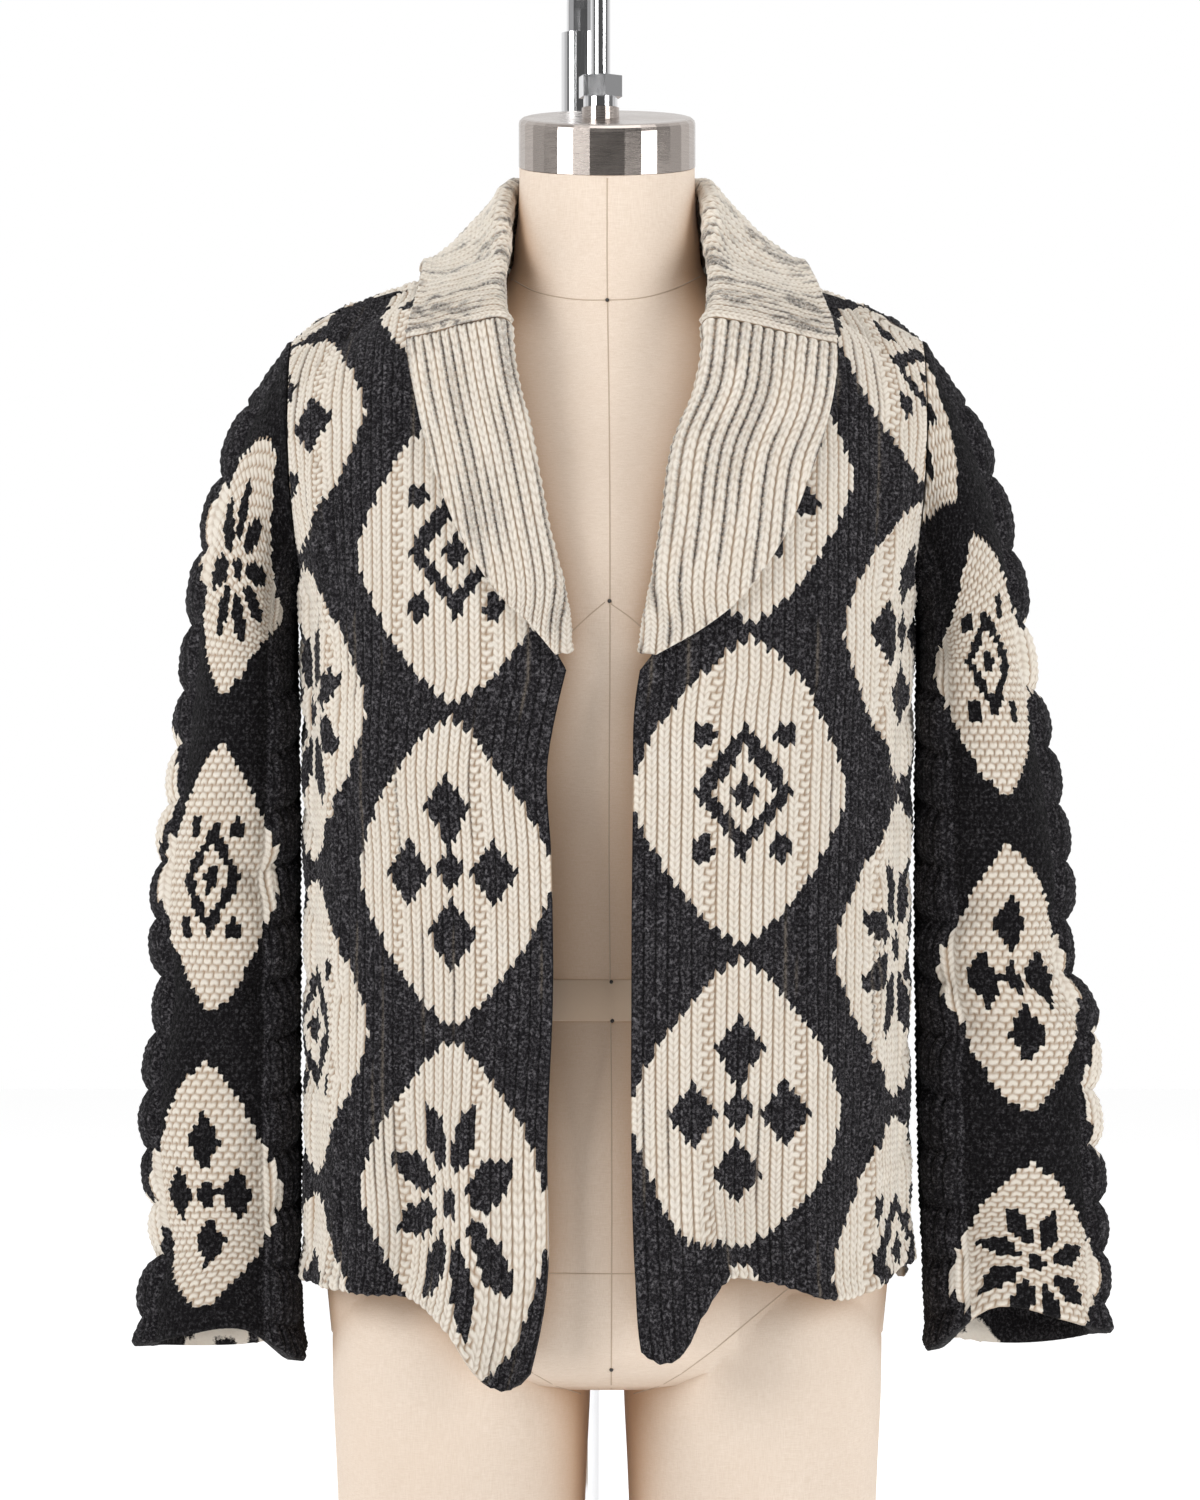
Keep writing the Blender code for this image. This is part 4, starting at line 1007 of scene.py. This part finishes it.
def ribbon_wall(name, first, last, rows, columns, tree, finish, turned, look, seed):
    """A knitted stretch of the ribbon; its stitches run along it, or across it where it is turned."""
    mids, outs = ribbon_rows(first, last, rows, turned, tree)
    mids, outs, at, length = even_columns(mids, outs, columns, not turned)
    outs = unit(outs)
    base = mids + outs * WALL / 2
    if turned:
        base = base.transpose(1, 0, 2)
        outs = outs.transpose(1, 0, 2)
        ends = np.minimum(np.arange(base.shape[1]), np.arange(base.shape[1])[::-1])[None] / LAPEL_STEPS
        inside = ease(ends * 2 + 0.2)
        rise = COLLAR_RIDGE
    else:
        ends = np.minimum(at, length - at) / WALE
        inside = ease(ends * 2)
        rise = LAPEL_RIDGE
    ridge = rise * np.exp(-(((ends - 0.7) / 0.45) ** 2))
    flip = (grid_normals(base) * outs).sum() < 0
    layers = look(*base.shape[:2])
    return add_wall(name, base, outs, flip, finish, layers, LAPEL_STEPS, inside, cable=ridge, seed=seed)


def lapel_look(side):
    """Cream with grey dashes between its wales, stronger towards the top."""

    def look(rows, cols):
        valley = np.abs((np.arange(cols) / LAPEL_STEPS) % 1 - 0.5) * 2
        streaks = noise(rows, cols, 14, LAPEL_STEPS, 31 + side)
        up = np.linspace(0, 1, rows) if side == 0 else np.linspace(1, 0, rows)
        strong = ease(streaks * 1.2 + 0.85 * up[:, None] + 0.15 * side)
        body = ease(streaks * 1.5 + 0.5 * up[:, None] - 0.6) * (0.45 - 0.25 * side)
        marl = np.maximum(np.clip(valley - 0.35, 0, 1)[None] / 0.65 * strong, body)
        return {"cream": np.ones((rows, cols)), "marl": marl}

    return look


def collar_look(rows, cols):
    """Cream with grey marl drawn out along its wales, darkest between them."""
    valley = np.abs((np.arange(cols) / LAPEL_STEPS) % 1 - 0.5)[None] * 2
    streaks = noise(rows, cols, 14, LAPEL_STEPS, 41)
    fine = noise(rows, cols, 3, LAPEL_STEPS / 2, 42)
    marl = ease(streaks * 1.0 + fine * 0.8 + 0.5 * valley - 0.25) * 0.8
    return {"cream": np.ones((rows, cols)), "marl": marl}


# The colour work: flowers, diamonds and framed diamonds on lozenges, in columns that step past each other

LOZENGE = (0.0610, 0.0900)  # half width and half height
SLEEVE_LOZENGE = (0.043, 0.080)
COLUMN = 0.116  # from one column of lozenges to the next
REPEAT = 0.190  # from one lozenge to the next above
FIRST_COLUMN = 0.060
FIRST_ROW = 0.062
SIDE_STEP = 0.048  # the lozenges of the viewer's right stand this much higher
SLEEVE_COLUMNS = ((0.074, 0.0), (0.222, 0.09))  # place round the sleeve and height
SLEEVE_ROW = 0.035
SLEEVE_STEP = 0.06  # those of the viewer's left sleeve stand this much higher
CREAM_LUMPS = {"left": ((0.055, 0.090), (0.300, 0.370)), "right": ((0.120, 0.190), (0.395, 0.430))}


def lozenge(x, y, wide, high, power=1.35):
    return (np.abs(x) / wide) ** power + (np.abs(y) / high) ** power < 1


def flower(x, y, size):
    """Eight pointed petals round a small middle."""
    mask = np.hypot(x, y) < size * 0.10
    for k in range(8):
        a = 2 * pi * (k + 0.5) / 8
        along = x * sin(a) + y * cos(a)
        across = np.abs(x * cos(a) - y * sin(a))
        t = np.clip((along / size - 0.20) / 0.52, 0, 1)
        mask |= (across < size * 0.118 * np.sin(pi * t) ** 0.7) & (t > 0) & (t < 1)
    return mask


def diamonds(x, y, size):
    """Four diamonds round a small one."""
    mask = lozenge(x, y, size * 0.16, size * 0.16, 1.0)
    for dx, dy in ((0.42, 0), (-0.42, 0), (0, 0.46), (0, -0.46)):
        mask |= lozenge(x - dx * size, y - dy * size, size * 0.24, size * 0.26, 1.0)
    return mask


def frame_figure(x, y, size):
    """A diamond's outline round a small diamond, with a dot at each corner."""
    mask = lozenge(x, y, size * 0.46, size * 0.50, 1.0) & ~lozenge(x, y, size * 0.29, size * 0.31, 1.0)
    mask |= lozenge(x, y, size * 0.13, size * 0.14, 1.0)
    for dx, dy in ((0.36, 0.42), (-0.36, 0.42), (0.36, -0.42), (-0.36, -0.42)):
        mask |= np.hypot(x - dx * size, y - dy * size) < size * 0.10
    return mask


FIGURES = (flower, diamonds, frame_figure)


def medallion(x, y, wide, high, kind):
    """True where a medallion is cream: a lozenge round a dark figure."""
    figure = FIGURES[kind % len(FIGURES)](x, y * wide / high * 1.12, wide)
    return lozenge(x, y, wide, high) & ~figure


def front_design(x, y, side_name):
    """Two columns of medallions; the second stands half a repeat higher."""
    turn = 0 if side_name == "left" else 1
    cream = np.zeros(x.shape, bool)
    for column in range(2):
        for k in range(-1, 5):
            across = x - FIRST_COLUMN - COLUMN * column
            up = y - FIRST_ROW - SIDE_STEP * turn - REPEAT * (k + 0.5 * column)
            cream |= medallion(across, up, *LOZENGE, k + 2 * column + turn)
    return cream * 1.0


def back_design(x, y):
    cream = np.zeros(x.shape, bool)
    for column in range(-2, 3):
        for k in range(-1, 5):
            up = y - FIRST_ROW - REPEAT * (k + 0.5 * (column % 2))
            cream |= medallion(x - column * COLUMN, up, *LOZENGE, k + column)
    return cream * 1.0


def sleeve_design(x, y, side_name):
    """Medallions in front and behind, and cream on some lumps of the outer cable."""
    turn = 1 if side_name == "left" else 0
    around = SLEEVE_WALES * WALE
    cream = np.zeros(x.shape, bool)
    for k in range(-1, 4):
        for place, (middle_x, lift) in enumerate(SLEEVE_COLUMNS):
            dx = (x - middle_x + around / 2) % around - around / 2
            up = y - SLEEVE_ROW - SLEEVE_STEP * turn - lift - REPEAT * k
            cream |= medallion(dx, up, *SLEEVE_LOZENGE, k + turn + place)
    for low, high in CREAM_LUMPS[side_name]:
        cream |= lozenge(x - 0.014, y - (low + high) / 2, 0.021, (high - low) / 2 + 0.006, 2.4)
    return cream * 1.0


# Materials


class Nodes:
    """The node tree of a material, or of the world, with short calls."""

    def __init__(self, name, kind="materials"):
        self.made = getattr(bpy.data, kind).new(name)
        self.made.use_nodes = True
        self.tree = self.made.node_tree

    def give(self, socket, given):
        """Sets a socket to a number or a colour, or links what feeds it."""
        if isinstance(given, tuple):
            socket.default_value = (*given, 1)
        elif isinstance(given, (int, float)):
            socket.default_value = given
        else:
            self.tree.links.new(given, socket)

    def add(self, kind, **values):
        node = self.tree.nodes.new(kind)
        for key, value in values.items():
            if key in node.inputs:
                node.inputs[key].default_value = value
            else:
                setattr(node, key, value)
        return node

    def value(self, source, low, high, out_low=0.0, out_high=1.0):
        """A value stretched from one range to another and kept inside it."""
        node = self.add("ShaderNodeMapRange", clamp=True)
        keys = ("Value", "From Min", "From Max", "To Min", "To Max")
        for key, given in zip(keys, (source, low, high, out_low, out_high)):
            self.give(node.inputs[key], given)
        return node.outputs["Result"]

    def math(self, operation, a, b):
        node = self.add("ShaderNodeMath", operation=operation)
        self.give(node.inputs[0], a)
        self.give(node.inputs[1], b)
        return node.outputs["Value"]

    def mix(self, factor, a, b):
        node = self.add("ShaderNodeMix", data_type="RGBA")
        for socket, given in zip((node.inputs[0], node.inputs[6], node.inputs[7]), (factor, a, b)):
            self.give(socket, given)
        return node.outputs[2]

    def noise(self, scale, detail=3.0, rough=0.55, stretch=(1, 1, 1)):
        place = self.add("ShaderNodeTexCoord")
        mapping = self.add("ShaderNodeMapping", Scale=stretch)
        self.give(mapping.inputs["Vector"], place.outputs["Object"])
        node = self.add("ShaderNodeTexNoise", Scale=scale, Detail=detail, Roughness=rough)
        self.give(node.inputs["Vector"], mapping.outputs["Vector"])
        return node.outputs["Fac"]

    def layer(self, name):
        return self.add("ShaderNodeAttribute", attribute_name=name).outputs["Fac"]

    def bump(self, height, distance, strength, before=None):
        node = self.add("ShaderNodeBump", Distance=distance, Strength=strength)
        self.give(node.inputs["Height"], height)
        if before is not None:
            self.give(node.inputs["Normal"], before)
        return node.outputs["Normal"]

    def finish(self, color, rough, normal=None, **values):
        sockets = self.tree.nodes["Principled BSDF"].inputs
        for key, given in (("Base Color", color), ("Roughness", rough), ("Normal", normal)):
            if given is not None:
                self.give(sockets[key], given)
        for key, given in values.items():
            sockets[key.replace("_", " ")].default_value = given
        return self.made


CHARCOAL = (0.0085, 0.0078, 0.0092)
CHARCOAL_LIGHT = (0.185, 0.176, 0.187)
# Painted shade: near black for the charcoal between its stitches and on the sleeves.
CHARCOAL_PAINTED_SHADE = (0.003, 0.0028, 0.003)
STRAND = (0.230, 0.195, 0.160)
CREAM = (0.740, 0.690, 0.615)
CREAM_WARM = (0.690, 0.615, 0.515)
# Painted shade: tan for the cream between its wales.
CREAM_SHADE = (0.340, 0.235, 0.150)
MARL = (0.042, 0.042, 0.047)


def wool(name):
    """Felted chunky wool: heathered charcoal, cream and grey marl, with painted shade: tan shadows between
    the cream's wales, near black between the charcoal's stitches and over the sleeves.
    """
    n = Nodes(name)
    fibre = n.noise(1300, 4, 0.7)
    strand = n.noise(480, 3, 0.6)
    curl = n.noise(560, 3, 0.65)
    mottle = n.noise(170, 3, 0.6)
    cloud = n.noise(60, 2, 0.5)
    groove_shade = n.layer("groove_shade")
    cream = n.layer("cream")
    marl = n.layer("marl")
    heather = n.math("MULTIPLY", n.value(curl, 0.47, 0.72), n.value(mottle, 0.30, 0.68, 0.30))
    heather = n.math("MAXIMUM", heather, n.value(fibre, 0.52, 0.78, 0.0, 0.35))
    dark = n.mix(heather, CHARCOAL, CHARCOAL_LIGHT)
    # Painted shade: the charcoal goes near black in the valleys between its stitches.
    dark = n.mix(n.value(groove_shade, 0.35, 1.0, 0.0, 0.80), dark, CHARCOAL_PAINTED_SHADE)
    # Painted shade: the shade layer darkens the sleeves' charcoal, most on purled stitches.
    dark = n.mix(n.value(n.layer("shade"), 0.0, 1.0, 0.0, 0.60), dark, CHARCOAL_PAINTED_SHADE)
    dark = n.mix(n.math("MULTIPLY", marl, n.value(curl, 0.36, 0.60, 0.0, 0.8)), dark, STRAND)
    light = n.mix(n.value(cloud, 0.35, 0.75, 0.0, 0.40), CREAM, CREAM_WARM)
    light = n.mix(n.value(strand, 0.30, 0.60, 0.16, 0.0), light, (0.50, 0.42, 0.33))
    # Painted shade: tan shadows in the valleys between the cream's wales.
    light = n.mix(n.value(groove_shade, 0.35, 0.95, 0.0, 0.92), light, CREAM_SHADE)
    grey = n.math("MULTIPLY", marl, n.value(curl, 0.36, 0.58, 0.25, 1.0))
    light = n.mix(grey, light, MARL)
    ragged = n.math("ADD", cream, n.value(curl, 0.25, 0.75, -0.24, 0.24))
    color = n.mix(n.value(ragged, 0.38, 0.62), dark, light)
    coarse = n.bump(strand, 0.0014, 0.55)
    normal = n.bump(fibre, 0.0007, 0.65, coarse)
    return n.finish(
        color,
        n.value(strand, 0.3, 0.7, 0.86, 1.0),
        normal,
        Sheen_Weight=0.04,
        Sheen_Roughness=0.45,
        Specular_IOR_Level=0.05,
    )


def canvas(name):
    """Linen-beige cloth stretched over the form: a fine even weave, a little slubbed, with painted warm
    shade where it is hemmed in.
    """
    n = Nodes(name)
    weft = n.noise(900, 2, 0.5, (0.25, 0.25, 4.0))
    warp = n.noise(900, 2, 0.5, (4.0, 4.0, 0.18))
    cloud = n.noise(14, 3, 0.5)
    weave = n.math("ADD", weft, warp)
    color = n.mix(n.value(weave, 0.75, 1.25), (0.640, 0.525, 0.425), (0.730, 0.625, 0.530))
    color = n.mix(n.value(cloud, 0.40, 0.70, 0.0, 0.25), color, (0.63, 0.50, 0.395))
    # Painted shade: warm brown mixed into the cloth's colour where ambient occlusion finds it hemmed in, as
    # between the cardigan's fronts.
    painted_shade_ao = n.add("ShaderNodeAmbientOcclusion", Distance=0.11).outputs["AO"]
    color = n.mix(n.value(painted_shade_ao, 0.30, 0.82, 0.85, 0.0), color, (0.46, 0.27, 0.145))
    return n.finish(color, 0.88, n.bump(weave, 0.0003, 0.35), Specular_IOR_Level=0.2, Sheen_Weight=0.05)


def metal(name, color, low, high, stretch, scratch):
    """Bare metal with fine marks that run one way."""
    n = Nodes(name)
    lines = n.noise(300, 3, 0.6, stretch)
    smudge = n.noise(24, 3, 0.55)
    rough = n.value(n.math("ADD", lines, smudge), 0.7, 1.3, low, high)
    tint = n.mix(n.value(lines, 0.3, 0.7, 0.0, scratch), color, tuple(0.72 * c for c in color))
    return n.finish(tint, rough, n.bump(lines, 0.0002, 0.20 * scratch), Metallic=1.0)


def plain(name, color, rough, grain, depth, **values):
    """A coated or painted surface with a fine grain."""
    n = Nodes(name)
    fine = n.noise(grain, 3, 0.6)
    cloud = n.noise(9, 2, 0.5)
    tint = n.mix(n.value(cloud, 0.35, 0.7, 0.0, 0.35), color, tuple(0.86 * c for c in color))
    spread = n.value(fine, 0.3, 0.7, rough * 0.85, min(1.0, rough * 1.15))
    return n.finish(tint, spread, n.bump(fine, depth, 0.25), **values)


# The dress form's finer shape

FORM_FINE = 128  # points round the torso
FORM_ROWS = 90
LEG_FINE = 72
LEG_ROWS = 24


def join_tool(target, tool):
    """Joins one solid to another and removes it."""
    step = target.modifiers.new("join", "BOOLEAN")
    step.operation = "UNION"
    step.object = tool
    step.solver = "EXACT"
    made = bpy.data.meshes.new_from_object(target.evaluated_get(bpy.context.evaluated_depsgraph_get()))
    target.modifiers.clear()
    target.data = made
    bpy.data.objects.remove(tool)


def loft_faces(rows, cols):
    """Faces of a tube of rings, with its two ends last."""
    faces = []
    for r in range(rows - 1):
        for c in range(cols):
            d = (c + 1) % cols
            faces.append((r * cols + c, r * cols + d, (r + 1) * cols + d, (r + 1) * cols + c))
    faces.append(tuple(range(cols))[::-1])
    faces.append(tuple((rows - 1) * cols + c for c in range(cols)))
    return faces


def fine_torso(finish):
    levels = np.concatenate([FORM["z"][:5], np.linspace(FORM["z"][4], FORM["z"][-1], FORM_ROWS)[1:]])
    rings = []
    for z in levels:
        half_width, front, back, lean = (float(v) for v in read(FORM, z, "half_width front back lean"))
        rings.append(ring(half_width, front, back, z, lean, 0.0, FORM_FINE))
    torso = add_piece("form_canvas", np.concatenate(rings), loft_faces(len(rings), FORM_FINE), finish)
    for mirror in (-1, 1):
        legs = []
        for z in np.linspace(LEG["z"][0], LEG["z"][-1], LEG_ROWS):
            half_width, depth = (float(v) for v in read(LEG, z, "half_width depth"))
            legs.append(ring(half_width, depth, depth * 1.1, z, 0, mirror * LEG_X, LEG_FINE))
        join_tool(torso, add_piece("leg", np.concatenate(legs), loft_faces(LEG_ROWS, LEG_FINE), finish))
    torso.data.set_sharp_from_angle(angle=radians(50))
    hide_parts("form_torso")
    return torso


# Lines on the form: a width, then x and z as seen from the front, in the form's own middle plane
SEAMS = {
    "seam_front": (
        0.0011, (0.0, 0.958), (0.0, 0.90), (0.0012, 0.80), (0.0015, 0.69), (0.001, 0.55), (0.0024, 0.40),
        (0.0024, 0.226),
    ),
    "seam_neck": (
        0.0011, (-0.058, 0.893), (-0.045, 0.884), (-0.025, 0.878), (0.0, 0.8765), (0.025, 0.879),
        (0.045, 0.887), (0.060, 0.897),
    ),
    "seam_bust_left": (0.0009, (-0.0015, 0.694), (-0.012, 0.685), (-0.030, 0.668), (-0.055, 0.650)),
    "seam_bust_right": (0.0009, (0.0005, 0.694), (0.012, 0.686), (0.030, 0.670), (0.055, 0.652)),
    "seam_leg_right": (
        0.0011, (0.016, 0.2195), (0.030, 0.228), (0.057, 0.2475), (0.085, 0.270), (0.115, 0.2935),
    ),
    "seam_leg_left": (
        0.0011, (-0.016, 0.2195), (-0.030, 0.2285), (-0.057, 0.2475), (-0.085, 0.270), (-0.115, 0.2935),
    ),
    "seam_hip": (0.0009, (-0.16, 0.300), (-0.08, 0.299), (0.0, 0.2985), (0.08, 0.299), (0.16, 0.300)),
}
SEAM_RISE = 0.0002
SEAM_SUNK = 0.0004
SEAM_STEP = 0.004  # distance between a seam's points
TAPE = ((0.4465, -0.0002), (0.4472, 0.0006), (0.4590, 0.0006), (0.4708, 0.0006), (0.4716, -0.0002))
PINS = ((0.0, 0.8765), (0.0012, 0.6947), (0.0024, 0.4700), (0.0030, 0.4470), (0.0024, 0.2405))
PIN_RADIUS = 0.0012
PIN_SIDES = 12
PIN_ROWS = 6


def surface_tree(made):
    bpy.context.view_layer.update()
    mesh = made.data
    mesh.calc_loop_triangles()
    return BVHTree.FromPolygons([v.co for v in mesh.vertices], [t.vertices for t in mesh.loop_triangles])


def on_form(tree, x, z, side=-1):
    """The point of the form seen at x and z from the front (side -1) or behind, and its normal."""
    spot, normal, _, _ = tree.ray_cast(Vector((x - MIDDLE_X, side * 0.5, z)), Vector((0, -side, 0)))
    return (None, None) if spot is None else (np.array(spot) + [MIDDLE_X, 0, 0], np.array(normal))


def seam_strip(name, tree, line, finish, side=-1):
    """A narrow raised strip along a line on the form, with its edges sunk into the cloth."""
    width, *keys = line
    keys = np.array(keys)
    run = run_along(keys)
    at = np.linspace(0, run[-1], max(8, int(run[-1] / SEAM_STEP)))
    spots = [on_form(tree, x, z, side) for x, z in smooth(at, run, keys)]
    points = np.array([point for point, _ in spots if point is not None])
    normals = np.array([normal for point, normal in spots if point is not None])
    across = unit(np.cross(np.gradient(points, axis=0), normals))
    rows = []
    for share, height in ((-1, -SEAM_SUNK), (-0.5, SEAM_RISE), (0.5, SEAM_RISE), (1, -SEAM_SUNK)):
        rows.append(points + across * share * width / 2 + normals * height)
    grid = np.stack(rows, axis=1)
    return add_piece(name, grid.reshape(-1, 3), loft_faces(len(points), len(rows)), finish)


def waist_tape(finish):
    """The twill tape round the form's waist, from the heights and lifts of its section."""
    rings = []
    for z, lift in TAPE:
        half_width, front, back = (float(v) + lift for v in read(FORM, z, "half_width front back"))
        rings.append(ring(half_width, front, back, z, 0, 0.0, FORM_FINE))
    faces = loft_faces(len(rings), FORM_FINE)[:-2]
    last = (len(rings) - 1) * FORM_FINE
    for c in range(FORM_FINE):
        d = (c + 1) % FORM_FINE
        faces.append((last + c, last + d, d, c))
    return add_piece("waist_tape", np.concatenate(rings), faces, finish)


def pins(tree, finish):
    """Round pin heads in the form's cloth."""
    points = []
    faces = []
    for x, z in PINS:
        spot, _ = on_form(tree, x, z)
        faces += [tuple(len(points) + k for k in face) for face in loft_faces(PIN_ROWS + 1, PIN_SIDES)]
        for a in np.linspace(0, pi / 2, PIN_ROWS + 1):
            for t in np.linspace(0, 2 * pi, PIN_SIDES, endpoint=False):
                dome = np.array([cos(a) * cos(t), -0.8 * sin(a), cos(a) * sin(t)])
                points.append(spot + [0, -0.0003, 0] + dome * PIN_RADIUS)
    return add_piece("form_pins", points, faces, finish)


# The studio

VIEW_X = -0.0141
VIEW_Z = 0.6075
VIEW_DISTANCE = 3.1
VIEW_HEIGHT = 0.915  # height of the picture at the part's middle
SENSOR = (28.8, 36)
FLOOR = 6.0  # half its side
SKY = (-0.35, 0.50, 0.10, 1.0)  # two directions along Y, and the brightness at each


def camera():
    data = bpy.data.cameras.new("camera")
    data.sensor_fit = "VERTICAL"
    data.sensor_width, data.sensor_height = SENSOR
    data.lens = data.sensor_height * VIEW_DISTANCE / VIEW_HEIGHT
    made = put("camera", data)
    made.location = (VIEW_X, -VIEW_DISTANCE, VIEW_Z)
    made.rotation_euler = (pi / 2, 0, 0)
    bpy.context.scene.camera = made


def softbox(name, place, target, size, power):
    data = bpy.data.lights.new(name, "AREA")
    data.shape = "RECTANGLE"
    data.size, data.size_y = size
    data.energy = power
    made = put(name, data)
    made.location = place
    made.rotation_euler = (Vector(target) - Vector(place)).to_track_quat("-Z", "Y").to_euler()


def sky():
    """White behind the object, dimmer behind the camera, so that folds and metal show their form."""
    n = Nodes("studio", "worlds")
    split = n.add("ShaderNodeSeparateXYZ")
    n.give(split.inputs["Vector"], n.add("ShaderNodeTexCoord").outputs["Generated"])
    n.give(n.tree.nodes["Background"].inputs["Color"], n.value(split.outputs["Y"], *SKY))
    bpy.context.scene.world = n.made
    bpy.context.scene.view_settings.view_transform = "Standard"


def floor():
    mesh = bpy.data.meshes.new("floor")
    corners = [(x * FLOOR, y * FLOOR, 0) for x, y in ((-1, -1), (1, -1), (1, 1), (-1, 1))]
    mesh.from_pydata(corners, [], [(0, 1, 2, 3)])
    glow = {"Emission_Color": (1, 1, 1, 1), "Emission_Strength": 0.55}
    white = Nodes("floor_white").finish((0.80, 0.80, 0.80), 0.9, Specular_IOR_Level=0.0, **glow)
    mesh.materials.append(white)
    put("floor", mesh)


def studio():
    sky()
    softbox("key", (-2.3, -1.9, 1.9), (0, 0, 0.6), (1.3, 1.8), 66)
    softbox("fill", (2.5, -1.8, 1.2), (0, 0, 0.6), (1.0, 2.2), 48)
    softbox("top", (0.2, -0.6, 2.6), (0, 0, 0.7), (1.6, 1.4), 18)
    floor()
    camera()


# Everything together


def declare(node):
    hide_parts(node)


def build_cloth():
    charcoal = wool("charcoal_wool")
    made = fine_back("back_knit", charcoal)
    declare("back")
    for name, mirror in (("front_left", -1), ("front_right", 1)):
        made = fine_front(name + "_knit", mirror, charcoal)
        declare(name)
    for name, mirror in (("sleeve_left", -1), ("sleeve_right", 1)):
        made = fine_sleeve(name + "_knit", mirror, charcoal)
        declare(name)


def body_tree():
    """The body's outer surface, coarse, for the collar to stay clear of."""
    grids = []
    for side, mirror, edge in ((-1, -1, "left"), (-1, 1, "right"), (1, -1, None), (1, 1, None)):
        levels = even_levels(side, 1)[:, None]
        start = 0.0
        if edge:
            start = front_edge(np.clip(levels, 0.3, 0.9), edge)
        x = start + (body("half_width", levels) - start) * np.linspace(0, 1, 60)[None]
        grids.append(body_point(x, levels, side, mirror))
    return grid_tree(grids)


def build_collar():
    cream = wool("cream_wool")
    tree = body_tree()
    last = 2 * len(LAPEL_Z["z"]) + len(COLLAR["roll_x"]) - 1
    rows = LAPEL_COURSES * ROW_STEPS
    cols = LAPEL_WALES * LAPEL_STEPS
    for side, (name, first, end) in enumerate((("left", 0, JOIN), ("right", last - JOIN, last))):
        look = lapel_look(side)
        made = ribbon_wall(f"lapel_{name}_knit", first, end, rows, cols, tree, cream, False, look, 51 + side)
        declare("lapel_" + name)
    rows = COLLAR_WALES * LAPEL_STEPS
    cols = COLLAR_COURSES * ROW_STEPS
    made = ribbon_wall("collar_knit", JOIN, last - JOIN, rows, cols, tree, cream, True, collar_look, 61)
    declare("collar")


def build_form():
    linen = canvas("form_linen")
    thread = plain("seam_thread", (0.46, 0.36, 0.27), 0.9, 900, 0.0002)
    # The tape's colour is darkened to a warm tan as painted shade, since the cardigan hides it except in the
    # shaded opening between the fronts.
    tape = plain("cotton_tape_painted_shade", (0.62, 0.47, 0.345), 0.9, 700, 0.0003)
    heads = plain("pin_heads", (0.03, 0.028, 0.026), 0.35, 900, 0.0001)
    tree = surface_tree(fine_torso(linen))
    made = [seam_strip(name, tree, line, thread) for name, line in SEAMS.items()]
    made.append(seam_strip("seam_back", tree, SEAMS["seam_front"], thread, 1))
    made += [waist_tape(tape), pins(tree, heads)]


def dress_stand():
    brushed = metal("brushed_steel", (0.48, 0.425, 0.39), 0.20, 0.34, (0.2, 0.2, 9.0), 0.6)
    chrome = metal("polished_chrome", (0.72, 0.72, 0.73), 0.05, 0.14, (1, 1, 0.1), 0.15)
    iron = plain("coated_iron_base", (0.70, 0.70, 0.69), 0.45, 260, 0.0004)
    looks = {"neck_cap": brushed, "stand_base": iron}
    for name in ("neck_cap", "hex_nut", "hanger_rod", "stand_arm", "stand_pole", "stand_base"):
        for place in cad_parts[name].material_slots:
            place.material = looks.get(name, chrome)


build_cloth()
build_collar()
build_form()
dress_stand()
studio()
